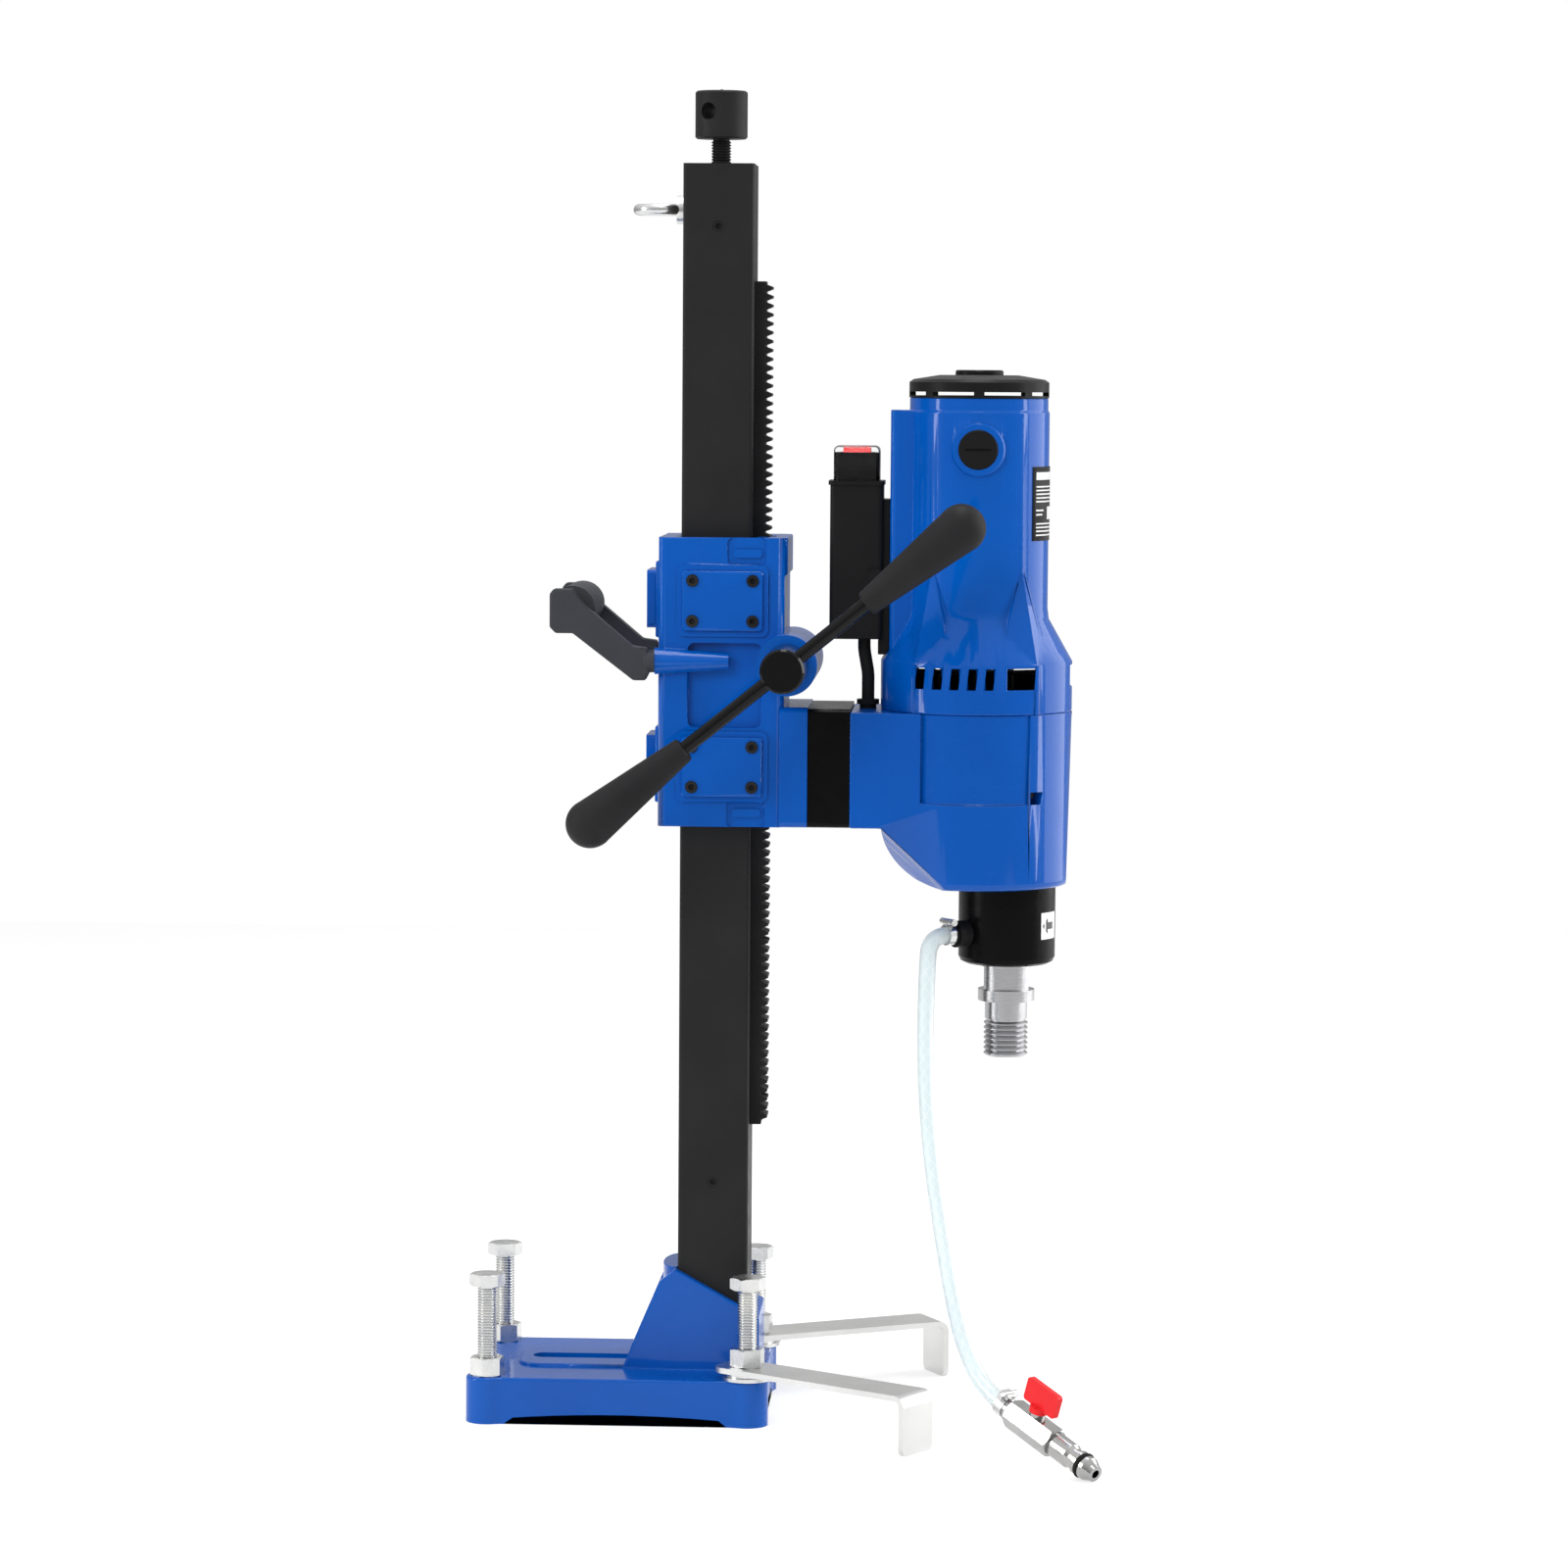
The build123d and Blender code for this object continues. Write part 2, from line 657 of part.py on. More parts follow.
def make_carriage():
    side = carriage_half_width
    body = rounded_block((carriage_left, carriage_right), (-side, side), (carriage_low, carriage_high), 5)
    # recess between the two guide zones, with a rounded frame round it
    for sign in (-1, 1):
        face = sorted((sign * (side - recess_depth), sign * (side + 5)))
        pocket = block((-19, 33), face, (recess_low, recess_high))
        body -= fillet(pocket.edges().filter_by(Axis.Y), 5)
        for loop_low, corner_low in ((carriage_high - 14, carriage_high - 19), (carriage_low + 7, carriage_low)):
            face = sorted((sign * (side - corner_step), sign * (side + 5)))
            corner = block((9, 36), face, (corner_low, corner_low + 19))
            loop = block((13, 33), face, (loop_low, loop_low + 6))
            body -= fillet(corner.edges().filter_by(Axis.Y), 3) - fillet(loop.edges().filter_by(Axis.Y), 2.5)
    # raised pads that carry the guide covers, and the ear at the upper right
    for height in cover_heights:
        pad_z = (height - cover_height / 2 - 4, height + cover_height / 2 + 4)
        pad = block((cover_left - 4, cover_right + 4), (-side - 1.5, side + 1.5), pad_z)
        body += fillet(pad.edges().filter_by(Axis.Y), 6)
    ear_z = (carriage_high - 26, carriage_high)
    body += block((carriage_right - 4, carriage_right + 2), (-side + 6, side - 6), ear_z)
    # rear pads
    for height in cover_heights:
        body += block((rear_face - 3, rear_face + 3), (-30, 30), (height - 27, height + 27))
    # shaft boss, flange towards the drill, tapered bosses for the carry handle
    body += along_y(boss_radius, (boss_front, boss_back), pinion_x, pinion_height)
    flange = block((flange_left - 3, flange_right), (-flange_half_width, flange_half_width), (flange_low, flange_high))
    body += fillet(flange.edges().filter_by(Axis.X), 4)
    taper = Pos(-16, -handle_arm_y + 3, handle_boss_height) * Rot(0, 90, 0) * Cone(9.5, 5.5, 52)
    for cone in both_sides(taper):
        body += cone
    # what passes through it
    body -= block((-column_gap_x, column_gap_x), (-column_gap_y, column_gap_y), (carriage_low - 1, carriage_high + 1))
    rack_lane = (-rack_width / 2 - 3, rack_width / 2 + 3)
    body -= block((0, rack_pitch_line + 5), rack_lane, (carriage_low - 1, carriage_high + 1))
    body -= along_y(pinion_radius + 3.5, (-pinion_width / 2 - 1, pinion_width / 2 + 1), pinion_x, pinion_height)
    body -= along_y(bush_radius + slip, (boss_front - 1, boss_back + 1), pinion_x, pinion_height)
    for x, z in cover_screw_places():
        body -= along_y(cover_screw_radius + slip, (-side - 5, -side + 9), x, z)
        body -= along_y(cover_screw_radius + slip, (side - 9, side + 5), x, z)
    for y, z in spacer_bolt_places():
        body -= along_x(spacer_bolt_radius + slip, (flange_left - 3, flange_right + 1), y, z)
    for y, z in rear_screw_places():
        body -= along_x(cover_screw_radius + slip, (rear_face - 5, rear_face + 4), y, z)
    bolt_reach = (carriage_left - 20, handle_bolt_end + 1)
    for bolt in both_sides(along_x(4 + slip, bolt_reach, -handle_arm_y, handle_boss_height)):
        body -= bolt
    return body


def make_guide_covers():
    made = []
    face = carriage_half_width + 1.5
    for height in cover_heights:
        z = (height - cover_height / 2, height + cover_height / 2)
        plate = block((cover_left, cover_right), (-face - cover_thickness, -face), z)
        plate = fillet(plate.edges().filter_by(Axis.Y), 3)
        plate = chamfer(plate.faces().sort_by(Axis.Y)[0].edges(), 0.6)
        for x, screw_z in cover_screw_places():
            if z[0] < screw_z < z[1]:
                plate -= along_y(cover_screw_radius + slip, (-face - 5, -face + 1), x, screw_z)
                plate -= along_y(4.4, (-face - 5, -face - 1.2), x, screw_z)
        made += both_sides(plate)
    return made


def make_cover_screws():
    made = []
    seat = -carriage_half_width - 1.5 - 1.2
    for x, z in cover_screw_places():
        screw = along_y(cover_screw_radius, (seat, seat + 9), x, z)
        screw += along_y(4.2, (seat - 3, seat), x, z)
        socket = Pos(x, seat - 0.8, z) * Rot(90, 0, 0) * extrude(RegularPolygon(2, 6, major_radius=False), 4)
        made += both_sides(screw - socket)
    for y, z in rear_screw_places():
        seat = rear_face - rear_cover_depth + 3.2
        screw = along_x(cover_screw_radius, (seat, seat + 9), y, z) + along_x(4.2, (seat - 3, seat), y, z)
        socket = Pos(seat - 3, y, z) * Rot(0, 90, 0) * extrude(RegularPolygon(2, 6, major_radius=False), 2)
        made.append(screw - socket)
    return made


def rear_screw_places():
    return [(y, height + z) for height in cover_heights for y in (-17, 17) for z in (-13, 13)]


def make_rear_covers():
    made = []
    for height in cover_heights:
        z = (height - 20.5, height + 20.5)
        y = (-rear_cover_half_width, rear_cover_half_width)
        plate = block((rear_face - rear_cover_depth, rear_face - 3), y, z)
        plate = fillet(plate.edges().filter_by(Axis.X), 3)
        for screw_y, screw_z in rear_screw_places():
            plate -= along_x(cover_screw_radius + slip, (rear_face - 20, rear_face), screw_y, screw_z)
            plate -= along_x(4.4, (rear_face - 20, rear_face - rear_cover_depth + 3.2), screw_y, screw_z)
        made.append(plate)
    return made


def make_slide_pads():
    """Plastic pads that fill the gap between carriage and column."""
    made = []
    for height in cover_heights:
        z = (height - 18, height + 18)
        low, high = column_y / 2 + running, column_gap_y
        made += both_sides(block((-16, 16), (-high, -low), z))
        low, high = column_x / 2 + running, column_gap_x
        made.append(block((-high, -low), (-20, 20), z))
        made += both_sides(block((low, high), (-26, -16), z))
    return made


def make_bushes():
    made = []
    for y in ((boss_front + 2, -pinion_width / 2 - 1.5), (pinion_width / 2 + 1.5, boss_back)):
        bush = along_y(bush_radius, y, pinion_x, pinion_height)
        made.append(bush - along_y(shaft_radius + running, (y[0] - 1, y[1] + 1), pinion_x, pinion_height))
    return made


def make_carry_handle():
    arm = [
        (-115.8, 588), (-113, 591.4), (-100.3, 591.4), (-95.4, 583.6), (-57.5, 551.7), (-47.2, 550.3),
        (-45.5, 533.2), (-48.3, 527.6), (-56.8, 527.6), (-99.6, 560.3), (-111.6, 560.3), (-115.8, 564.5),
    ]
    half = handle_arm_width / 2
    plate = side_plate(arm, (-handle_arm_y - half, -handle_arm_y + half))
    plate = chamfer(plate.faces().sort_by(Axis.Y)[0].edges(), 1.2)
    neck = along_x(handle_neck_radius, (-50, carriage_left - 2), -handle_arm_y, handle_boss_height)
    grip_y = handle_arm_y - half
    handle = along_y(handle_grip_radius, (-grip_y, grip_y), -100.5, 577.6)
    for side in both_sides(plate + neck):
        handle += side
    for bolt in both_sides(along_x(4 + slip, (-60, 0), -handle_arm_y, handle_boss_height)):
        handle -= bolt
    return handle


def make_handle_bolts():
    return both_sides(along_x(4, (-59, handle_bolt_end), -handle_arm_y, handle_boss_height))


def spacer_bolt_places():
    middle = (flange_low + flange_high) / 2
    return [(y * spacer_bolt_y, middle + z * spacer_bolt_z) for y in (-1, 1) for z in (-1, 1)]


def make_spacer():
    z = (flange_low, flange_high - 1)
    x = (flange_right, flange_right + spacer_length)
    spacer = block(x, (-flange_half_width + 1, flange_half_width - 1), z)
    spacer = fillet(spacer.edges().filter_by(Axis.X), 4)
    middle = (flange_low + flange_high) / 2
    spacer -= block((x[0] - 1, x[1] + 1), (-20, 20), (middle - 26, middle + 26))
    for y, bolt_z in spacer_bolt_places():
        spacer -= along_x(spacer_bolt_radius + slip, (x[0] - 1, x[1] + 1), y, bolt_z)
    return spacer


def make_spacer_bolts():
    made = []
    for y, z in spacer_bolt_places():
        made.append(along_x(spacer_bolt_radius, (flange_left - 2, flange_right + spacer_length + 14), y, z))
    return made


# ================================================================ crank
def turned_to_crank(shape):
    """From a local bar along +X to the crank's own direction."""
    return Pos(pinion_x, bar_plane, pinion_height) * Rot(0, -crank_angle, 0) * shape


def make_feed_pinion():
    plan = gear_plan(rack_module, pinion_teeth, pinion_backlash, 180 + 180 / pinion_teeth)
    gear = Pos(pinion_x, pinion_width / 2, pinion_height) * Rot(90, 0, 0) * extrude(plan, pinion_width)
    shaft = along_y(shaft_radius, (bar_plane + bar_radius + 2, boss_back + 3), pinion_x, pinion_height)
    shaft += along_y(shaft_radius + 4, (boss_back + 0.4, boss_back + 3.4), pinion_x, pinion_height)
    return gear + shaft


def make_hub():
    hub = along_y(hub_radius, (hub_front, hub_back), pinion_x, pinion_height)
    hub = chamfer(hub.edges().group_by(Axis.Y)[0], 1.5)
    hub -= along_y(shaft_radius + slip, (bar_plane + bar_radius + 1, hub_back + 1), pinion_x, pinion_height)
    return hub - turned_to_crank(along_x(bar_radius + slip, (-30, 30), 0, 0))


def make_crank_bar():
    return turned_to_crank(along_x(bar_radius, (-lower_reach + 18, upper_reach - 18), 0, 0))


def make_grips():
    swell = grip_length - grip_end_radius
    outline = [(0, 0), (grip_start_radius - 1.5, 0), (grip_start_radius, 1.5), (grip_end_radius, swell), (0, swell)]
    grip = turned(outline) + Pos(0, 0, swell) * Sphere(grip_end_radius)
    grip = Rot(0, 90, 0) * (grip - upright(bar_radius + slip, (-1, grip_length - 17)))
    upper = Pos(upper_reach - grip_length, 0, 0) * grip
    lower = Rot(0, 180, 0) * Pos(lower_reach - grip_length, 0, 0) * grip
    return [turned_to_crank(upper), turned_to_crank(lower)]


# ================================================================ drill motor
motor_flange_left = flange_right + spacer_length


def tangent_plan():
    """The gearbox from above: a round body drawn out to the flange."""
    corner_x, corner_y = motor_flange_right - motor_x, flange_half_width
    reach = math.hypot(corner_x, corner_y)
    angle = math.atan2(corner_y, corner_x) - math.acos(flare_radius / reach)
    touch = (motor_x + flare_radius * math.cos(angle), flare_radius * math.sin(angle))
    near = [(motor_flange_left, -corner_y), (motor_flange_right, -corner_y), (touch[0], -touch[1])]
    far = [(x, -y) for x, y in reversed(near)]
    plan = make_face(Polyline(*near, (motor_x, 0), *far, close=True))
    return plan + Pos(motor_x, 0) * Circle(flare_radius)


def make_gearbox():
    top = seam_height
    body = Pos(0, 0, gearbox_bottom) * extrude(tangent_plan(), top - gearbox_bottom)
    body = fillet(body.edges().group_by(Axis.Z)[0], 5)
    left, right = motor_flange_left, motor_x + flare_radius
    profile = Polyline((118, flange_low), (left, flange_low), (left, flange_high), (motor_x, flange_high))
    profile += Polyline((motor_x, flange_high), (motor_x, top), (right, top))
    profile += Polyline((right, top), (right - 3, gearbox_bottom), (162, gearbox_bottom))
    profile += ThreePointArc((162, gearbox_bottom), (133, 394), (118, flange_low))
    profile = Rot(90, 0, 0) * make_face(profile)
    body &= Pos(0, 100, 0) * extrude(profile, 200)
    # a slanting facet under each side, between the flange and the underside
    facet = Plane(origin=(118, -flange_half_width, flange_low), z_dir=(-0.686, -0.38, -0.62))
    cutter = (facet * Pos(0, 0, 50) * Box(200, 200, 100)) & block((118, 200), (-100, 0), (350, 460))
    for side in both_sides(cutter):
        body -= side
    # shallow panels on the near and far side, above the step
    for sign in (-1, 1):
        panel = upright(flare_radius + 12, (443, top + 1), motor_x) - upright(flare_radius - 1.5, (440, top + 2), motor_x)
        panel &= block((146, 222), sorted((0, sign * 100)), (443, top + 1))
        body -= panel
    # inside
    inner = flare_radius - gearbox_wall
    floor = gearbox_bottom + gearbox_floor
    cavity = upright(inner, (floor + 22, top + 1), motor_x) + upright(inner - 12, (floor, floor + 22), motor_x + 10)
    for x, y in screw_places():
        cavity -= upright(7, (floor, top + 2), x, y)
    for x, y, radius, high in bearing_seats():
        if high < gear_plate_low:
            cavity -= upright(radius + 4, (floor, high), x, y)
    body -= cavity
    for x, y, radius, high in bearing_seats():
        if high < gear_plate_low:
            body -= upright(radius + slip, (floor, high + 1), x, y)
    body -= upright(journal_radius + free_gap, (gearbox_bottom - 1, floor + 1), spindle_x)
    for x, y in screw_places():
        body -= upright(housing_screw_radius + slip, (screw_seat - 1, top + 1), x, y)
        if x > motor_x:
            # a pocket that opens sideways, through the wall
            heading = math.degrees(math.atan2(y, x - motor_x))
            body -= Pos(x, y, screw_seat - 4.5) * Rot(0, 0, heading) * Pos(9, 0, 0) * Box(22, 11, 9)
            body -= upright(4.6, (screw_seat - 9, screw_seat), x, y)
        else:
            body -= upright(4.6, (gearbox_bottom - 1, screw_seat), x, y)
    for y, z in spacer_bolt_places():
        body -= along_x(spacer_bolt_radius + slip, (motor_flange_left - 1, motor_flange_left + 14.5), y, z)
    body -= upright(6 + slip, (flange_high - 9, flange_high + 1), cable_x)
    return body


screw_seat = 451.5


def screw_places():
    """The four screws that hold the motor housing on the gearbox."""
    made = []
    for angle in housing_screw_angles:
        turn = math.radians(angle)
        x, y = motor_x + housing_screw_ring * math.cos(turn), housing_screw_ring * math.sin(turn)
        made += [(x, -y), (x, y)]
    return made


def idler_place():
    """Where the idler stands: in mesh with the armature and with the spindle gear."""
    to_armature = fast_module * (armature_teeth + idler_teeth) / 2
    to_spindle = slow_module * (idler_pinion_teeth + spindle_teeth) / 2
    apart = spindle_x - motor_x
    along = (to_armature**2 - to_spindle**2 + apart**2) / (2 * apart)
    return motor_x + along, math.sqrt(to_armature**2 - along**2)


def bearing_seats():
    """Each ball bearing as (x, y, outer radius, upper face)."""
    idler_x, idler_y = idler_place()
    return [
        (spindle_x, 0, 26.0, 402.0),
        (idler_x, idler_y, 11.0, 400.0),
        (spindle_x, 0, 13.0, 455.0),
        (idler_x, idler_y, 11.0, 455.0),
        (motor_x, 0, 14.0, 466.0),
        (motor_x, 0, 14.0, 716.0),
    ]


bearing_bores = (12.5, 4.0, 5.0, 4.0, armature_shaft_radius, armature_shaft_radius)
bearing_widths = (12.0, 10.0, 9.0, 9.0, 9.0, 9.0)


def make_bearings():
    made = []
    for (x, y, radius, high), bore, width in zip(bearing_seats(), bearing_bores, bearing_widths):
        ring = upright(radius, (high - width, high), x, y)
        ring -= upright(bore + running, (high - width - 1, high + 1), x, y)
        made.append(ring)
    return made


def make_gear_plate():
    low, high = gear_plate_low, gear_plate_low + gear_plate_thickness
    plate = upright(flare_radius - gearbox_wall - slip, (low, high), motor_x)
    for x, y, radius, top in bearing_seats()[2:5]:
        plate += upright(radius + 3, (min(low, top - 10), max(high, top)), x, y)
    for place in screw_places():
        plate -= upright(7 + slip, (400, 500), *place)
    plate -= upright(8.5, (400, 500), motor_x)
    for (x, y, radius, top), width in zip(bearing_seats()[2:5], bearing_widths[2:5]):
        if top > high:
            plate -= upright(radius + slip, (top - width, top + 1), x, y)
        else:
            plate -= upright(radius + slip, (low - 10, top), x, y)
    return plate


def sector(radius, inner, z, start, sweep, x=0.0):
    """Part of a tube's wall between two angles."""
    wide = radius * 2
    ring = upright(radius, z, x) - upright(inner, (z[0] - 1, z[1] + 1), x)
    count = max(1, math.ceil(sweep / 60))
    points = [(0, 0)]
    for step in range(count + 1):
        turn = math.radians(start + sweep * step / count)
        points.append((wide * math.cos(turn), wide * math.sin(turn)))
    wedge = Pos(x, 0, z[0] - 1) * extrude(make_face(Polyline(*points, close=True)), z[1] - z[0] + 2)
    return ring & wedge


def make_motor_housing():
    r, flare = motor_radius, flare_radius
    shell = [(0, seam_height), (flare, seam_height), (flare, flare_bottom), (r + 1, flare_top), (r, flare_top + 8)]
    shell += [(r, motor_top - 10), (r - 1, motor_top - 9), (r - 1, motor_top), (0, motor_top)]
    body = turned(shell, motor_x)
    # spine towards the column, which carries the switch
    spine = block((rib_left, motor_x), (-rib_half_width, rib_half_width), (flare_bottom, rib_top))
    body += fillet(spine.edges().filter_by(Axis.Z).group_by(Axis.X)[0], 4)
    # buttresses that run from the round body out to the vent band
    for angle in buttress_angles:
        for sign in (-1, 1):
            wide = buttress_half_width
            foot = [(flare, 0, flare_bottom), (r + 6, wide, flare_bottom), (r - 12, wide, flare_bottom)]
            foot += [(r - 12, -wide, flare_bottom), (r + 6, -wide, flare_bottom)]
            head = [(r + 0.5, 0, buttress_top), (r - 0.5, 1, buttress_top), (r - 4, 1, buttress_top)]
            head += [(r - 4, -1, buttress_top), (r - 0.5, -1, buttress_top)]
            sections = [make_face(Polyline(*outline, close=True)) for outline in (foot, head)]
            body += Pos(motor_x, 0, 0) * Rot(0, 0, sign * angle) * loft(sections, ruled=True)
            ridge = Pos(flare - 2, 0, 0) * block((-3, 3), (-2.2, 2.2), (seam_height, flare_bottom - 1))
            body += Pos(motor_x, 0, 0) * Rot(0, 0, sign * angle) * fillet(ridge.edges().filter_by(Axis.Z), 1.5)
    # brush bosses
    boss = along_y(brush_boss_radius, (-r - 2, -r + 20), motor_x, brush_height)
    boss = chamfer(boss.edges().group_by(Axis.Y)[0], 1.2)
    for side in both_sides(boss):
        body += side
    # inside
    wall = motor_wall
    inner = [(0, seam_height - 1), (flare - wall, seam_height - 1), (flare - wall, flare_bottom)]
    inner += [(r - wall, flare_top), (r - wall, 706), (0, 706)]
    body -= turned(inner, motor_x)
    body -= upright(r - wall, (718, motor_top + 1), motor_x)
    body -= upright(14 + slip, (706.9, 719), motor_x)
    body -= upright(9, (700, 719), motor_x)
    for turn in range(6):
        port = Pos(motor_x, 0, 712) * Rot(0, 0, 60 * turn + 30) * Pos(30, 0, 0) * Cylinder(9, 20)
        body -= port
    for side in both_sides(along_y(brush_bore_radius + slip, (-r - 5, -20), motor_x, brush_height)):
        body -= side
    for side in both_sides(along_y(brush_cap_radius + slip, (-r - 5, -r + 0.5), motor_x, brush_height)):
        body -= side
    # air slots
    first = motor_x - 39
    slots = [(first + vent_pitch * i, vent_width) for i in range(vent_count)] + [(motor_x + 32, 20)]
    for middle, width in slots:
        cut = block((middle - width / 2, middle + width / 2), (-80, -20), (vent_low, vent_high))
        for side in both_sides(cut):
            body -= side
    body -= block((motor_x + 50, motor_x + 80), (-14, 14), (vent_low, vent_high))
    # screws from below
    for x, y in screw_places():
        pillar = upright(5.5, (seam_height, seam_height + 15), x, y)
        body += pillar - upright(housing_screw_radius + slip, (seam_height - 1, seam_height + 12), x, y)
    return body


def make_housing_screws():
    made = []
    for x, y in screw_places():
        screw = upright(housing_screw_radius, (screw_seat, seam_height + 11), x, y)
        screw += upright(4.4, (screw_seat - 4.5, screw_seat), x, y)
        socket = Pos(x, y, screw_seat - 5) * extrude(RegularPolygon(2, 6, major_radius=False), 3)
        made.append(screw - socket)
    return made


def make_motor_cap():
    r, low = motor_radius, motor_top
    outline = [(0, cap_disc_top), (cap_disc_radius - 1, cap_disc_top), (cap_disc_radius, cap_disc_top - 1)]
    outline += [(cap_disc_radius, cap_top - 1.5), (r - 22, cap_top - 1), (r - 3.5, cap_top - 4), (r - 0.5, cap_top - 6)]
    outline += [(r - 0.5, low), (r - 5, low), (r - 5, cap_top - 6), (r - 24, cap_top - 4), (0, cap_top - 4)]
    cap = turned(outline, motor_x)
    for window in range(8):
        cap -= sector(r + 3, r - 8, (low + 1.4, low + 4.2), 45 * window + 4, 37, motor_x)
    return cap


def make_brush_caps():
    outer = motor_radius + 2.6
    cap = along_y(brush_cap_radius, (-outer, -motor_radius + 0.5), motor_x, brush_height)
    cap = chamfer(cap.edges().group_by(Axis.Y)[0], 0.8)
    cap += along_y(brush_bore_radius, (-motor_radius + 0.5, -motor_radius + 3), motor_x, brush_height)
    slot = block((motor_x - 9, motor_x + 9), (-outer - 1, -outer + 1.4), (brush_height - 0.8, brush_height + 0.8))
    return both_sides(cap - slot)


def make_brush_holders():
    holder = along_y(brush_bore_radius, (-motor_radius + 3.2, -21), motor_x, brush_height)
    holder -= block((motor_x - 5 - slip, motor_x + 5 + slip), (-60, 0), (brush_height - 3.05, brush_height + 3.05))
    return both_sides(holder)


def make_brushes():
    return both_sides(block((motor_x - 5, motor_x + 5), (-38, -18.2), (brush_height - 3, brush_height + 3)))


def make_stator():
    inner_radius = motor_radius - motor_wall - slip
    ring = upright(inner_radius, (578, 656), motor_x)
    ring -= upright(30, (570, 670), motor_x)
    slot_depth = inner_radius - 4.95
    for side in both_sides(block((motor_x - 24, motor_x + 24), (-slot_depth, -20), (570, 670))):
        ring -= side
    winding = block((motor_x - 22, motor_x + 22), (1 - slot_depth, 9 - slot_depth), (572, 662))
    cut = upright(31, (560, 680), motor_x)
    return [ring] + [side - cut for side in both_sides(winding)]


def make_armature():
    x = motor_x
    shaft = upright(armature_shaft_radius, (fast_gear_low + fast_gear_width + 3, 718), x)
    shaft += upright(29, (582, 652), x) + upright(24, (573, 661), x) + upright(18, (680, 702), x)
    shaft += upright(9, (661, 680), x)
    for slot in range(12):
        groove = Pos(x, 0, 617) * Rot(0, 0, 30 * slot) * Pos(28.5, 0, 0) * Box(3, 2.4, 72)
        shaft -= groove
    first_tooth = math.degrees(math.atan2(idler_place()[1], idler_place()[0] - motor_x))
    gear_z = (fast_gear_low - 1, fast_gear_low + fast_gear_width + 3)
    return shaft + spur_gear(fast_module, armature_teeth, backlash, first_tooth, gear_z, x, 0)


def make_fan():
    fan = upright(52.5, (514, 516.5), motor_x) + upright(12, (514, 534), motor_x)
    for blade in range(12):
        vane = Rot(0, 0, 30 * blade) * block((11, 51.5), (-1, 1), (516, 533))
        fan += Pos(motor_x, 0, 0) * vane
    return fan - upright(armature_shaft_radius + slip, (500, 550), motor_x)


def make_idler():
    x, y = idler_place()
    to_armature = math.degrees(math.atan2(-y, motor_x - x))
    to_spindle = math.degrees(math.atan2(-y, spindle_x - x))
    big = spur_gear(
        fast_module, idler_teeth, backlash, to_armature + 180 / idler_teeth,
        (fast_gear_low, fast_gear_low + fast_gear_width), x, y,
    )
    small = spur_gear(
        slow_module, idler_pinion_teeth, backlash, to_spindle,
        (slow_gear_low - 1, fast_gear_low), x, y,
    )
    return big + small + upright(4, (391, 454.5), x, y) + upright(7, (401, slow_gear_low), x, y)


def make_spindle():
    x = spindle_x
    thread = thread_outline(thread_radius, thread_pitch, 1.9, thread_low, thread_high)
    outline = [(water_bore, thread_low)] + thread
    outline += [(neck_radius, thread_high), (neck_radius, spindle_flange_low)]
    outline += [(spindle_flange_radius, spindle_flange_low), (spindle_flange_radius, spindle_flange_high)]
    outline += [(wrench_radius, spindle_flange_high), (wrench_radius, collar_low - 1.2), (journal_radius, collar_low - 1.2)]
    outline += [(journal_radius, 389.5), (12.5, 389.5), (12.5, slow_gear_low), (13, slow_gear_low)]
    outline += [(13, slow_gear_low + slow_gear_width), (9, slow_gear_low + slow_gear_width), (9, 445.5)]
    outline += [(5, 445.5), (5, 454.5), (0, 454.5), (0, 356), (water_bore, 356)]
    spindle = turned(outline, x)
    idler_x, idler_y = idler_place()
    to_idler = math.degrees(math.atan2(idler_y, idler_x - x))
    spindle += spur_gear(
        slow_module, spindle_teeth, backlash, to_idler + 180 / spindle_teeth,
        (slow_gear_low, slow_gear_low + slow_gear_width), x, 0,
    )
    for angle in (0, 90):
        flats = Rot(0, 0, angle) * block((-40, 40), (wrench_flats / 2, 40), (spindle_flange_high, collar_low - 2.5))
        spindle -= Pos(x, 0, 0) * flats
        spindle -= Pos(x, 0, 0) * Rot(0, 0, 180) * flats
    spindle -= along_x(3, (x - 20, x + 20), 0, inlet_height)
    return spindle


def make_water_collar():
    r = collar_radius
    outline = [(journal_radius + 0.8, collar_low), (r - 5, collar_low), (r - 1.5, collar_low + 1.8), (r, collar_low + 5)]
    outline += [(r, gearbox_bottom), (journal_radius + 0.8, gearbox_bottom), (journal_radius + 0.8, 372)]
    outline += [(seal_radius + slip, 372), (seal_radius + slip, 332), (journal_radius + 0.8, 332)]
    collar = turned(outline, spindle_x)
    port = Rot(0, 0, inlet_angle) * along_x(inlet_radius - 2 + slip, (seal_radius - 2, r + 2), 0, inlet_height)
    return collar - Pos(spindle_x, 0, 0) * port


def make_seals():
    made = []
    for low in (332.2, 364.8):
        seal = upright(seal_radius, (low, low + 7), spindle_x)
        made.append(seal - upright(journal_radius + running, (low - 1, low + 8), spindle_x))
    return made


def make_water_inlet():
    r = collar_radius
    stub = along_x(inlet_radius - 2, (seal_radius + 1.5, inlet_end - free_gap), 0, inlet_height)
    stub += along_x(inlet_radius, (r + 0.6, inlet_end - 3), 0, inlet_height)
    stub -= along_x(3.5, (0, inlet_end - 2), 0, inlet_height)
    return Pos(spindle_x, 0, 0) * Rot(0, 0, inlet_angle) * stub


